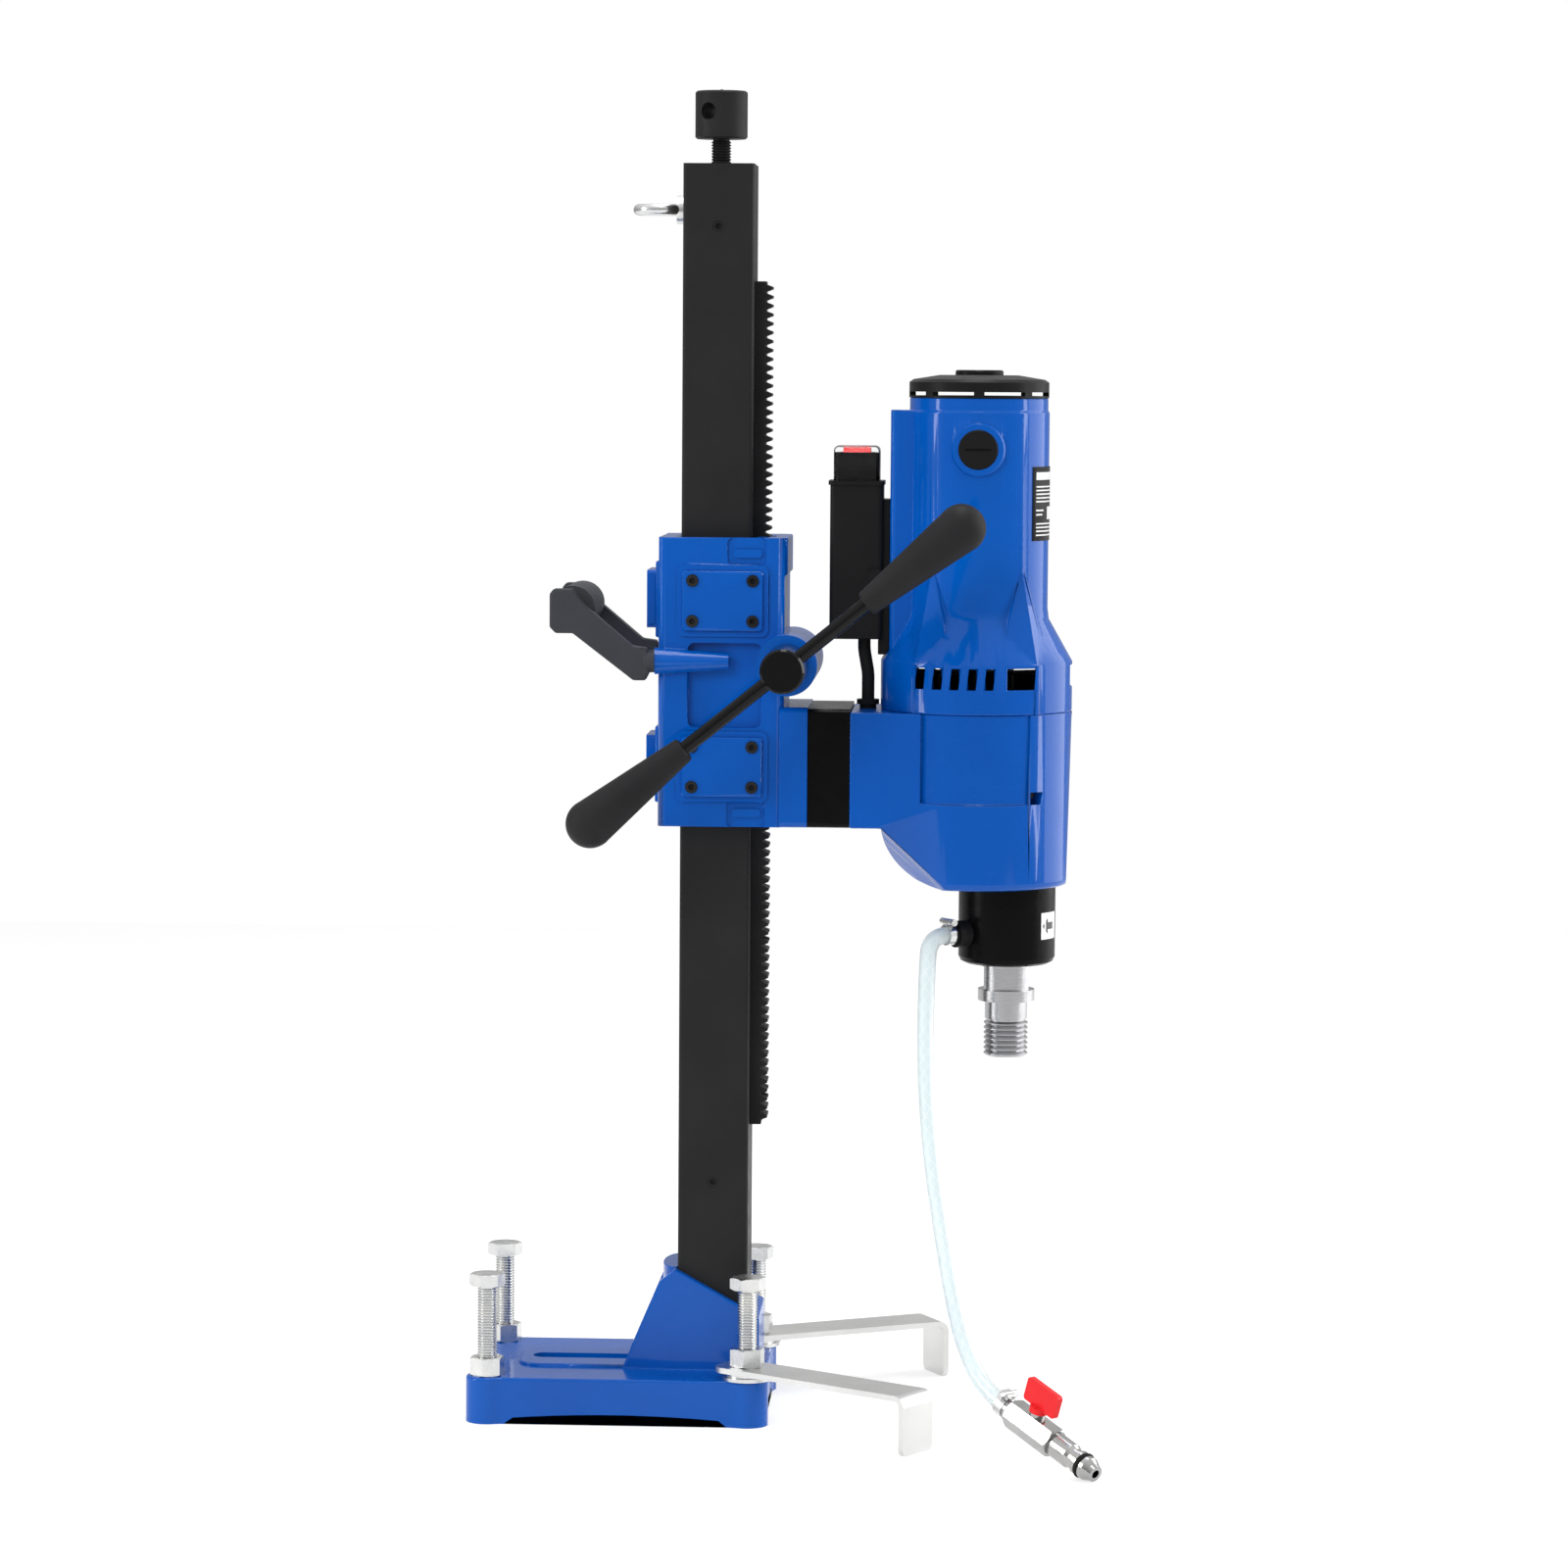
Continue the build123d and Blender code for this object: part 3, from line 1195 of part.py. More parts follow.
def hose_clamp(width):
    """A worm-drive clamp round the hose, made along +X."""
    band = along_x(hose_radius + 1.6, (0, width), 0, 0) - along_x(hose_radius + 2 * slip, (-1, width + 1), 0, 0)
    housing = block((-0.5, width + 0.5), (-4, 4), (hose_radius + 1.2, hose_radius + 5))
    housing = fillet(housing.edges().filter_by(Axis.Y), 1.2)
    screw = along_y(2.4, (-8, 8), width / 2, hose_radius + 3)
    return band + housing + screw


def make_inlet_clamp():
    return placed_along(hose_clamp(5), hose_route[0], hose_route[1])


def make_water_hose():
    radii = []
    for before, corner, after in zip(hose_route, hose_route[1:], hose_route[2:]):
        run_in = Vector(*corner) - Vector(*before)
        run_out = Vector(*after) - Vector(*corner)
        turn = math.radians(run_in.get_angle(run_out))
        radii.append(0.45 * min(run_in.length, run_out.length) / math.tan(turn / 2))
    path = FilletPolyline(*hose_route, radius=radii)
    start = Plane(origin=hose_route[0], z_dir=path % 0)
    hose = sweep(start * Circle(hose_radius), path=path)
    expected = math.pi * hose_radius**2 * path.length
    print("hose radii", [round(r, 1) for r in radii])
    print("hose length", round(path.length, 1), "volume over section x length", round(hose.volume / expected, 4))
    return hose


def make_rating_plate():
    inner = motor_radius + 0.02
    z = (plate_low, plate_high)
    return sector(inner + plate_thickness, inner, z, plate_start_angle, plate_sweep, motor_x)


# ================================================================ switch
def make_switch_box():
    x, y = (switch_left, switch_right), (-switch_half_width, switch_half_width)
    box = rounded_block(x, y, (switch_low, switch_high), 4)
    box = fillet(box.edges().group_by(Axis.Z)[0], 2)
    box += rounded_block((x[0] - 1.2, x[1] + 0.8), (y[0] - 1.2, y[1] + 1.2), (switch_high - 3, switch_high), 4)
    bezel = rounded_block((x[0] + 2.5, x[1] - 3), (y[0] + 4, y[1] - 4), (switch_high, bezel_top), 3)
    well_x = (rocker_wall_left, rocker_wall_right)
    box += bezel - rounded_block(well_x, (y[0] + 6, y[1] - 6), (switch_high + 2, bezel_top + 1), 1.5)
    pin_hole = (rocker_wall_left - rocker_gap - free_gap, rocker_wall_right + rocker_gap + free_gap)
    box -= along_x(rocker_pin_radius + running, pin_hole, 0, rocker_pin_height)
    # the bracket on the motor's spine, cut back where the motor widens
    bracket = block((switch_right - 3, rib_left), (-14, 14), (545, 655))
    gap = free_gap
    cone = [(0, 540), (flare_radius + gap, 540), (flare_radius + gap, flare_bottom)]
    cone += [(motor_radius + 1 + gap, flare_top)]
    box += bracket - turned(cone + [(0, flare_top)], motor_x)
    box += along_y(5, (-switch_half_width - 3, 0), switch_right - 5, 601)
    return box - upright(cable_radius + slip, (switch_low - 1, switch_low + 12), cable_x - 3)


def make_rocker():
    """The rocker, tipped to its off side about its own pin."""
    x = (rocker_wall_left + rocker_gap, rocker_wall_right - rocker_gap)
    pin_z = rocker_pin_height
    outline = [(-9, pin_z + 2.5), (-9, pin_z + 7), (0, pin_z + 10.5), (9, pin_z + 7), (9, pin_z + 2.5), (0, pin_z - 8)]
    points = [(x[0], y, z) for y, z in outline]
    rocker = extrude(make_face(Polyline(*points, close=True)), x[1] - x[0], dir=(1, 0, 0))
    rocker += along_x(rocker_pin_radius, (rocker_wall_left - rocker_gap, rocker_wall_right + rocker_gap), 0, pin_z)
    return rocker.rotate(Axis((x[0], 0, pin_z), (1, 0, 0)), rocker_tilt)


def make_motor_cable():
    route = [(cable_x - 3, 0, switch_low + 10), (cable_x - 3, 0, switch_low - 8)]
    route += [(cable_x, 0, flange_high + 22), (cable_x, 0, flange_high - 8)]
    path = FilletPolyline(*route, radius=40)
    start = Plane(origin=route[0], z_dir=path % 0)
    return sweep(start * Circle(cable_radius), path=path)


def make_grommet():
    ring = upright(8, (flange_high, flange_high + 3.5), cable_x) + upright(6, (flange_high - 8.5, flange_high), cable_x)
    return ring - upright(cable_radius + slip, (flange_high - 10, flange_high + 5), cable_x)


# ================================================================ tap
tap_length = (Vector(*tap_end) - Vector(*tap_start)).length
nipple_start = tap_length - 40


def make_tap_body():
    hexagon_plan = RegularPolygon(valve_flats / 2, 6, major_radius=False, rotation=30)
    valve = Pos(4, 0, 0) * Rot(0, 90, 0) * extrude(hexagon_plan, nipple_start - 6)
    corner = valve_flats / math.sqrt(3)
    ends = along_x(corner, (4, nipple_start - 2), 0, 0)
    ends = chamfer(ends.edges().filter_by(GeomType.CIRCLE), 1.4)
    body = (valve & ends) + along_x(8, (free_gap, 5), 0, 0) + along_x(7.5, (nipple_start - 3, nipple_start), 0, 0)
    body += upright(5.5, (0, valve_flats / 2 + 3), 26)
    body -= along_x(3.5, (0, nipple_start + 1), 0, 0)
    return placed_along(body, tap_start, tap_end)


def make_tap_nipple():
    s = nipple_start
    outline = [(7.5, s), (8.8, s + 1), (8.8, s + 15), (7.4, s + 18), (7.4, s + 22), (8.6, s + 23), (8.6, s + 26)]
    outline += [(6.9, s + 26.5), (6.9, s + 29.5), (8.4, s + 30), (8.4, s + 33)]
    outline += [(6.5, s + 37), (5.6, s + 40), (3, s + 40), (3, s)]
    points = [(along, radius) for radius, along in outline]
    nipple = revolve(make_face(Polyline(*points, close=True)), Axis.X)
    return placed_along(nipple, tap_start, tap_end)


def make_tap_clamp():
    last_run = Vector(*tap_start) - Vector(*hose_route[-2])
    beyond = Vector(*tap_start) + last_run
    return placed_along(Pos(-9.2, 0, 0) * hose_clamp(8), tap_start, tuple(beyond))


def make_tap_lever():
    low = valve_flats / 2 + 3.2
    stem = upright(6.5, (low, low + 4), 26)
    wing = block((11, 43), (-2, 2), (low + 3, low + 20))
    wing = fillet(wing.edges().filter_by(Axis.Y), 2.5)
    return placed_along(stem + wing, tap_start, tap_end)


# ================================================================ all pieces
parts["base_casting"] = make_base()
parts["column_tube"] = make_column()
parts["column_cap"] = make_column_cap()
parts["column_blocks"] = make_column_blocks()
parts["column_tie_bolt"] = make_tie_bolt()
parts["column_set_screws"] = make_set_screws()
parts["feed_rack"] = make_rack()
parts["rack_screws"] = make_rack_screws()
parts["eye_bolt"] = make_eye_bolt()
parts["lock_nuts"] = make_lock_nuts()
parts["arm_washers"] = make_arm_washers()
for number, (x, y) in enumerate(bolt_places, 1):
    parts[f"levelling_bolt_{number}"] = make_levelling_bolt(x, y)
parts["hold_down_arm_near"] = make_arm(-1, near_arm_angle)
parts["hold_down_arm_far"] = make_arm(1, far_arm_angle)
parts["jack_screw"] = make_jack()
parts["carriage_casting"] = make_carriage()
parts["guide_covers"] = make_guide_covers()
parts["rear_covers"] = make_rear_covers()
parts["cover_screws"] = make_cover_screws()
parts["slide_pads"] = make_slide_pads()
parts["pinion_bushes"] = make_bushes()
parts["carry_handle"] = make_carry_handle()
parts["handle_bolts"] = make_handle_bolts()
parts["spacer_block"] = make_spacer()
parts["spacer_bolts"] = make_spacer_bolts()
parts["feed_pinion"] = make_feed_pinion()
parts["crank_hub"] = make_hub()
parts["crank_bar"] = make_crank_bar()
parts["crank_grips"] = make_grips()
parts["gearbox_housing"] = make_gearbox()
parts["gear_plate"] = make_gear_plate()
parts["motor_housing"] = make_motor_housing()
parts["housing_screws"] = make_housing_screws()
parts["motor_cap"] = make_motor_cap()
parts["brush_caps"] = make_brush_caps()
parts["brush_holders"] = make_brush_holders()
parts["carbon_brushes"] = make_brushes()
parts["stator"] = make_stator()
parts["ball_bearings"] = make_bearings()
parts["armature"] = make_armature()
parts["cooling_fan"] = make_fan()
parts["idler_gear"] = make_idler()
parts["spindle"] = make_spindle()
parts["water_collar"] = make_water_collar()
parts["collar_seals"] = make_seals()
parts["water_inlet"] = make_water_inlet()
parts["inlet_clamp"] = make_inlet_clamp()
parts["water_hose"] = make_water_hose()
parts["rating_plate"] = make_rating_plate()
parts["switch_box"] = make_switch_box()
parts["rocker_switch"] = make_rocker()
parts["motor_cable"] = make_motor_cable()
parts["cable_grommet"] = make_grommet()
parts["tap_body"] = make_tap_body()
parts["tap_nipple"] = make_tap_nipple()
parts["tap_clamp"] = make_tap_clamp()
parts["tap_lever"] = make_tap_lever()

# ================================================================ origin and export
# The rig's extent without its hose and tap, from the sizes that set it.
extent_left = base_left
extent_right = motor_x + flare_radius
near_turn = math.radians(near_arm_angle)
far_turn = math.radians(far_arm_angle)
extent_near = -bolt_y + arm_reach * math.sin(near_turn) - arm_width / 2 * math.cos(near_turn)
extent_far = bolt_y + arm_reach * math.sin(far_turn) + arm_width / 2 * math.cos(far_turn)
origin = (-(extent_left + extent_right) / 2, -(extent_near + extent_far) / 2, 0)
print("column axis in the row frame", [round(value, 3) for value in origin])

os.makedirs("parts", exist_ok=True)
for name, piece in parts.items():
    solids = piece if isinstance(piece, list) else [piece]
    moved = [Pos(*origin) * solid for made in solids for solid in made.solids()]
    whole = moved[0] if len(moved) == 1 else Compound(children=moved)
    export_step(whole, f"parts/{name}.step")
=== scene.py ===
import json
import math
import bpy
import bmesh
from mathutils import Matrix, Vector


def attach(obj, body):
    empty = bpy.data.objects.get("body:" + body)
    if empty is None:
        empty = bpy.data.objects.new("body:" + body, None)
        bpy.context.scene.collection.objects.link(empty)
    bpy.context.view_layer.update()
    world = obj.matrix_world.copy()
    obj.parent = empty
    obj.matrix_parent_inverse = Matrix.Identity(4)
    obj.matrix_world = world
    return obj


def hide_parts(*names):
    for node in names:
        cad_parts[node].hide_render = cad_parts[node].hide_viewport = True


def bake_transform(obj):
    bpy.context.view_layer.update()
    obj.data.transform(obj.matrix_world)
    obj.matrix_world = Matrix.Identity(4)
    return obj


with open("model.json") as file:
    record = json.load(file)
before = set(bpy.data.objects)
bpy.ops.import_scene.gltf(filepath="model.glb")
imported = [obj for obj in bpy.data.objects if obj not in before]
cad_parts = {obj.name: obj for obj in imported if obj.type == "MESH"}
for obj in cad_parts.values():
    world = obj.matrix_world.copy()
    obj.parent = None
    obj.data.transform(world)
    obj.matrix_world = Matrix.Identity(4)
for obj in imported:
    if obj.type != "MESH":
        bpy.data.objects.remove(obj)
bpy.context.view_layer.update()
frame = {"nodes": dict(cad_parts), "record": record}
nodes = frame["nodes"]
scene = bpy.context.scene
scene.view_settings.view_transform = "Standard"
print("frame loaded,", len(nodes), "pieces")

columnAxis = (-39.5, 7.79)  # the column's axis in the row frame, in mm


def at(x, y, z):
    # a point counted in mm from the column's axis and the floor
    return Vector(((x + columnAxis[0]) / 1000, (y + columnAxis[1]) / 1000, z / 1000))


# the camera
view = {
    "place": (207.2, -3518.0, 751.0),
    "down": 4.87,
    "left": 2.6,
    "roll": 0.4,
    "lens": 113.6,
}

lensData = bpy.data.cameras.new("viewCamera")
lensData.lens = view["lens"]
lensData.sensor_width = 36
lensData.clip_end = 60
camera = bpy.data.objects.new("viewCamera", lensData)
scene.collection.objects.link(camera)
turn = Matrix.Rotation(math.radians(view["left"]), 4, "Z")
turn = turn @ Matrix.Rotation(math.radians(90 - view["down"]), 4, "X")
turn = turn @ Matrix.Rotation(math.radians(view["roll"]), 4, "Z")
camera.matrix_world = Matrix.Translation(at(*view["place"])) @ turn
scene.camera = camera
print("camera set")


# how pieces are made
def newPiece(name, bm, body, materials, smoothAngle=35):
    # a finished bmesh becomes a piece that rides on a body
    mesh = bpy.data.meshes.new(name)
    bm.to_mesh(mesh)
    bm.free()
    for polygon in mesh.polygons:
        polygon.use_smooth = True
    mesh.set_sharp_from_angle(angle=math.radians(smoothAngle))
    piece = bpy.data.objects.new(name, mesh)
    scene.collection.objects.link(piece)
    for material in materials:
        mesh.materials.append(material)
    if body:
        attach(piece, body)
    return piece


def weighNormals(piece):
    # flats stay flat beside their rounded edges
    modifier = piece.modifiers.new("flatNormals", "WEIGHTED_NORMAL")
    modifier.keep_sharp = True
    modifier.weight = 100
    return piece


flatAngle = 0.8  # degrees below which two facets count as one flat
mergeDistance = 0.00001


def finishedCopy(node, body, material, edge, longEnough, sharpAngle=32):
    # a part's own mesh with its long sharp edges rounded over
    bm = bmesh.new()
    bm.from_mesh(nodes[node].data)
    bmesh.ops.remove_doubles(bm, verts=bm.verts, dist=mergeDistance)
    bmesh.ops.dissolve_limit(
        bm, angle_limit=math.radians(flatAngle), verts=bm.verts, edges=bm.edges, delimit={"NORMAL"},
    )
    sharp = [
        e for e in bm.edges
        if e.is_manifold and e.calc_length() > longEnough and e.calc_face_angle(0) > math.radians(sharpAngle)
    ]
    bmesh.ops.bevel(
        bm, geom=sharp, offset=edge, offset_type="OFFSET", segments=2, profile=0.5,
        affect="EDGES", clamp_overlap=False, material=-1,
    )
    piece = newPiece(node + "_finished", bm, body, [material])
    weighNormals(piece)
    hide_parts(node)
    return piece


# materials
def startMaterial(name, colour, roughness, metallic=0.0):
    material = bpy.data.materials.new(name)
    material.use_nodes = True
    tree = material.node_tree
    shader = tree.nodes["Principled BSDF"]
    shader.inputs["Base Color"].default_value = (*colour, 1)
    shader.inputs["Roughness"].default_value = roughness
    shader.inputs["Metallic"].default_value = metallic
    where = tree.nodes.new("ShaderNodeTexCoord")
    return material, tree, shader, where


def stretched(tree, where, scale):
    mapping = tree.nodes.new("ShaderNodeMapping")
    mapping.inputs["Scale"].default_value = scale
    tree.links.new(where.outputs["Object"], mapping.inputs["Vector"])
    return mapping.outputs["Vector"]


def noise(tree, vector, scale, detail=2.0):
    texture = tree.nodes.new("ShaderNodeTexNoise")
    texture.inputs["Scale"].default_value = scale
    texture.inputs["Detail"].default_value = detail
    tree.links.new(vector, texture.inputs["Vector"])
    return texture.outputs["Fac"]


def between(tree, factor, low, high):
    # a value that wanders between low and high with the pattern
    spread = tree.nodes.new("ShaderNodeMapRange")
    spread.inputs["From Min"].default_value = 0.3
    spread.inputs["From Max"].default_value = 0.7
    spread.inputs["To Min"].default_value = low
    spread.inputs["To Max"].default_value = high
    tree.links.new(factor, spread.inputs["Value"])
    return spread.outputs["Result"]


def twoColours(tree, factor, first, second):
    mix = tree.nodes.new("ShaderNodeMix")
    mix.data_type = "RGBA"
    mix.inputs["A"].default_value = (*first, 1)
    mix.inputs["B"].default_value = (*second, 1)
    tree.links.new(factor, mix.inputs["Factor"])
    return mix.outputs["Result"]


def bump(tree, shader, height, strength, distance, below=None):
    node = tree.nodes.new("ShaderNodeBump")
    node.inputs["Strength"].default_value = strength
    node.inputs["Distance"].default_value = distance
    tree.links.new(height, node.inputs["Height"])
    if below:
        tree.links.new(below, node.inputs["Normal"])
    tree.links.new(node.outputs["Normal"], shader.inputs["Normal"])
    return node.outputs["Normal"]


enamel = {
    "deep": (0.0, 0.065, 0.335),
    "bright": (0.0, 0.08, 0.395),
    "peelScale": 260,
    "castScale": 34,
    "roughness": (0.22, 0.3),
    "coat": 0.42,
    "coatRoughness": 0.05,
    "shine": 0.05,
}


def blueEnamel():
    material, tree, shader, where = startMaterial("blueEnamel", enamel["bright"], 0.25)
    vector = where.outputs["Object"]
    wide = noise(tree, vector, 9, 3)
    shade = twoColours(tree, between(tree, wide, 0, 1), enamel["deep"], enamel["bright"])
    tree.links.new(shade, shader.inputs["Base Color"])
    gloss = between(tree, noise(tree, vector, 60, 4), *enamel["roughness"])
    tree.links.new(gloss, shader.inputs["Roughness"])
    cast = bump(tree, shader, noise(tree, vector, enamel["castScale"], 2), 0.12, 0.0012)
    bump(tree, shader, noise(tree, vector, enamel["peelScale"], 2), 0.06, 0.0004, cast)
    shader.inputs["Coat Weight"].default_value = enamel["coat"]
    shader.inputs["Coat Roughness"].default_value = enamel["coatRoughness"]
    shader.inputs["Specular IOR Level"].default_value = enamel["shine"]
    return material


def darkFinish(name, colour, paler, roughness, metallic, grainScale, grain, coat=0.0, shine=0.07):
    # black paint, plastic or oxide: a faint cloudiness and a fine grain
    material, tree, shader, where = startMaterial(name, colour, roughness[0], metallic)
    vector = where.outputs["Object"]
    cloud = between(tree, noise(tree, vector, 14, 4), 0, 1)
    tree.links.new(twoColours(tree, cloud, colour, paler), shader.inputs["Base Color"])
    tree.links.new(between(tree, noise(tree, vector, 85, 3), *roughness), shader.inputs["Roughness"])
    bump(tree, shader, noise(tree, vector, grainScale, 2), grain, 0.0003)
    shader.inputs["Coat Weight"].default_value = coat
    shader.inputs["Coat Roughness"].default_value = 0.12
    shader.inputs["Specular IOR Level"].default_value = shine
    return material


def platedMetal(name, colour, warmer, roughness, grainScale=420, grain=0.05):
    material, tree, shader, where = startMaterial(name, colour, roughness[0], 1.0)
    vector = where.outputs["Object"]
    cloud = between(tree, noise(tree, vector, 45, 4), 0, 1)
    tree.links.new(twoColours(tree, cloud, colour, warmer), shader.inputs["Base Color"])
    tree.links.new(between(tree, noise(tree, vector, 130, 4), *roughness), shader.inputs["Roughness"])
    bump(tree, shader, noise(tree, vector, grainScale, 3), grain, 0.0002)
    return material


def brushedStrip(name):
    # sheet stock with its rolling lines along the strip
    material, tree, shader, where = startMaterial(name, (0.66, 0.66, 0.65), 0.34, 1.0)
    along = stretched(tree, where, (30, 2600, 2600))
    lines = noise(tree, along, 1.0, 4)
    tree.links.new(between(tree, lines, 0.26, 0.42), shader.inputs["Roughness"])
    cloud = between(tree, noise(tree, where.outputs["Object"], 22, 3), 0, 1)
    shade = twoColours(tree, cloud, (0.64, 0.64, 0.63), (0.72, 0.72, 0.71))
    tree.links.new(shade, shader.inputs["Base Color"])
    bump(tree, shader, lines, 0.08, 0.0002)
    return material


def turnedSteel(name, colour, roughness):
    # lathe lines run round the part, so they change quickly with height only
    material, tree, shader, where = startMaterial(name, colour, roughness[0], 1.0)
    rings = noise(tree, stretched(tree, where, (6, 6, 3200)), 1.0, 3)
    tree.links.new(between(tree, rings, *roughness), shader.inputs["Roughness"])
    cloud = between(tree, noise(tree, where.outputs["Object"], 60, 3), 0, 1)
    paler = tuple(min(1.0, c * 1.08) for c in colour)
    tree.links.new(twoColours(tree, cloud, colour, paler), shader.inputs["Base Color"])
    bump(tree, shader, rings, 0.1, 0.0002)
    return material


def clearHose():
    material, tree, shader, where = startMaterial("clearHose", (0.84, 0.92, 0.935), 0.14)
    shader.inputs["Transmission Weight"].default_value = 0.6
    shader.inputs["IOR"].default_value = 1.4
    shader.inputs["Coat Weight"].default_value = 0.3
    shader.inputs["Coat Roughness"].default_value = 0.08
    mapping = tree.nodes.new("ShaderNodeMapping")
    tree.links.new(where.outputs["UV"], mapping.inputs["Vector"])
    threads = []
    for turned in (0.62, -0.62):
        wave = tree.nodes.new("ShaderNodeTexWave")
        wave.wave_profile = "SIN"
        wave.inputs["Scale"].default_value = 1.0
        slant = tree.nodes.new("ShaderNodeMapping")
        slant.inputs["Rotation"].default_value = (0, 0, turned)
        tree.links.new(mapping.outputs["Vector"], slant.inputs["Vector"])
        tree.links.new(slant.outputs["Vector"], wave.inputs["Vector"])
        threads.append(wave.outputs["Fac"])
    most = tree.nodes.new("ShaderNodeMath")
    most.operation = "MAXIMUM"
    tree.links.new(threads[0], most.inputs[0])
    tree.links.new(threads[1], most.inputs[1])
    thread = tree.nodes.new("ShaderNodeMapRange")
    thread.inputs["From Min"].default_value = 0.86
    thread.inputs["From Max"].default_value = 1.0
    tree.links.new(most.outputs["Value"], thread.inputs["Value"])
    shade = twoColours(tree, thread.outputs["Result"], (0.84, 0.92, 0.935), (0.92, 0.965, 0.975))
    tree.links.new(shade, shader.inputs["Base Color"])
    bump(tree, shader, noise(tree, where.outputs["Object"], 160, 2), 0.05, 0.0004)
    return material


finishes = {
    "blue_paint": blueEnamel(),
    "black_steel": darkFinish(
        "columnBlack", (0.015, 0.015, 0.0155), (0.02, 0.02, 0.0205), (0.38, 0.5), 0.0, 620, 0.12,
    ),
    "black_aluminium": darkFinish(
        "blackAnodised", (0.0022, 0.0022, 0.0024), (0.0035, 0.0035, 0.0037), (0.22, 0.32), 0.0, 500, 0.05, 0.0,
    ),
    "aluminium": platedMetal("bareAluminium", (0.68, 0.68, 0.7), (0.74, 0.74, 0.74), (0.32, 0.42)),
    "zinc_steel": platedMetal("zincPlate", (0.6, 0.61, 0.62), (0.74, 0.74, 0.72), (0.2, 0.34), 300, 0.07),
    "black_oxide": darkFinish(
        "blackOxide", (0.012, 0.012, 0.013), (0.022, 0.022, 0.023), (0.34, 0.48), 0.0, 700, 0.14,
    ),
    "gear_steel": turnedSteel("machinedSteel", (0.42, 0.42, 0.43), (0.16, 0.34)),
    "stainless": brushedStrip("brushedStrip"),
    "black_plastic": darkFinish(
        "blackPlastic", (0.008, 0.008, 0.0085), (0.012, 0.012, 0.0125), (0.3, 0.42), 0.0, 900, 0.1,
    ),
    "grey_plastic": darkFinish(
        "slatePlastic", (0.034, 0.036, 0.042), (0.046, 0.048, 0.055), (0.42, 0.52), 0.0, 800, 0.16,
    ),
    "grip_plastic": darkFinish(
        "gripPlastic", (0.014, 0.014, 0.015), (0.02, 0.02, 0.021), (0.46, 0.58), 0.0, 1100, 0.2,
    ),
    "red_plastic": darkFinish(
        "redPlastic", (0.62, 0.012, 0.016), (0.74, 0.02, 0.024), (0.22, 0.34), 0.0, 500, 0.06, 0.2,
    ),
    "rubber": darkFinish(
        "blackRubber", (0.01, 0.01, 0.01), (0.016, 0.016, 0.016), (0.5, 0.62), 0.0, 700, 0.15,
    ),
    "bronze": platedMetal("bushBronze", (0.55, 0.36, 0.16), (0.64, 0.45, 0.22), (0.34, 0.46)),
    "slide_plastic": darkFinish(
        "slidePlastic", (0.66, 0.64, 0.58), (0.74, 0.72, 0.66), (0.4, 0.5), 0.0, 500, 0.08,
    ),
    "carbon": darkFinish("carbon", (0.012, 0.012, 0.012), (0.02, 0.02, 0.02), (0.4, 0.55), 0.0, 600, 0.1),
    "core_steel": platedMetal("coreSteel", (0.3, 0.24, 0.2), (0.4, 0.3, 0.22), (0.38, 0.5)),
    "nickel": platedMetal("nickelPlate", (0.46, 0.45, 0.43), (0.62, 0.6, 0.57), (0.12, 0.24), 160, 0.14),
    "hose_plastic": clearHose(),
    "plate_print": darkFinish(
        "plateBlack", (0.014, 0.014, 0.015), (0.02, 0.02, 0.021), (0.35, 0.45), 0.0, 600, 0.04,
    ),
}
glossBlack = darkFinish(
    "glossBlack", (0.003, 0.003, 0.003), (0.005, 0.005, 0.005), (0.12, 0.2), 0.0, 300, 0.04, 0.2,
)
tapPlate = platedMetal("tapPlate", (0.34, 0.34, 0.34), (0.46, 0.45, 0.44), (0.12, 0.24), 160, 0.12)
ownFinish = {"crank_hub": glossBlack, "crank_bar": glossBlack, "tap_body": tapPlate, "tap_nipple": tapPlate}
slotOf = {s["node"]: s["material_slot"] for s in frame["record"]["subparts"]}
for nodeName, nodeObject in nodes.items():
    nodeObject.data.materials.clear()
    nodeObject.data.materials.append(ownFinish.get(nodeName, finishes[slotOf[nodeName]]))
print("finishes made")

# castings
castings = {
    "base_casting": ("stand", 1.4, 3.0),
    "carriage_casting": ("carriage", 1.2, 3.0),
    "guide_covers": ("carriage", 0.5, 2.0),
    "rear_covers": ("carriage", 0.8, 2.0),
    "gearbox_housing": ("carriage", 1.2, 3.0),
    "motor_housing": ("carriage", 0.9, 2.5),
    "spacer_block": ("carriage", 0.8, 3.0),
    "switch_box": ("carriage", 0.7, 2.0),
    "carry_handle": ("carriage", 1.0, 2.5),
    "column_cap": ("stand", 0.8, 2.0),
    "feed_rack": ("stand", 0.15, 1.0),
}
for nodeName, (body, edge, longEnough) in castings.items():
    slotName = slotOf[nodeName]
    finishedCopy(nodeName, body, finishes[slotName], edge / 1000, longEnough / 1000)
print("castings finished")

# water hose
hose = {
    "radius": 0.006,
    "wall": 0.0018,
    "sides": 28,
    "route": [
        (168.2, -27.5, 347.5), (160.0, -33.2, 347.5), (153.1, -38.5, 341.6), (151.9, -42.1, 330.2),
        (151.5, -47.6, 313.0), (150.8, -57.0, 283.0), (152.0, -69.0, 239.0), (157.0, -83.0, 190.0),
        (165.0, -100.0, 142.6), (176.2, -123.4, 87.0), (187.2, -137.0, 58.7), (198.4, -151.2, 43.9),
        (212.8, -166.0, 35.7),
    ],
}


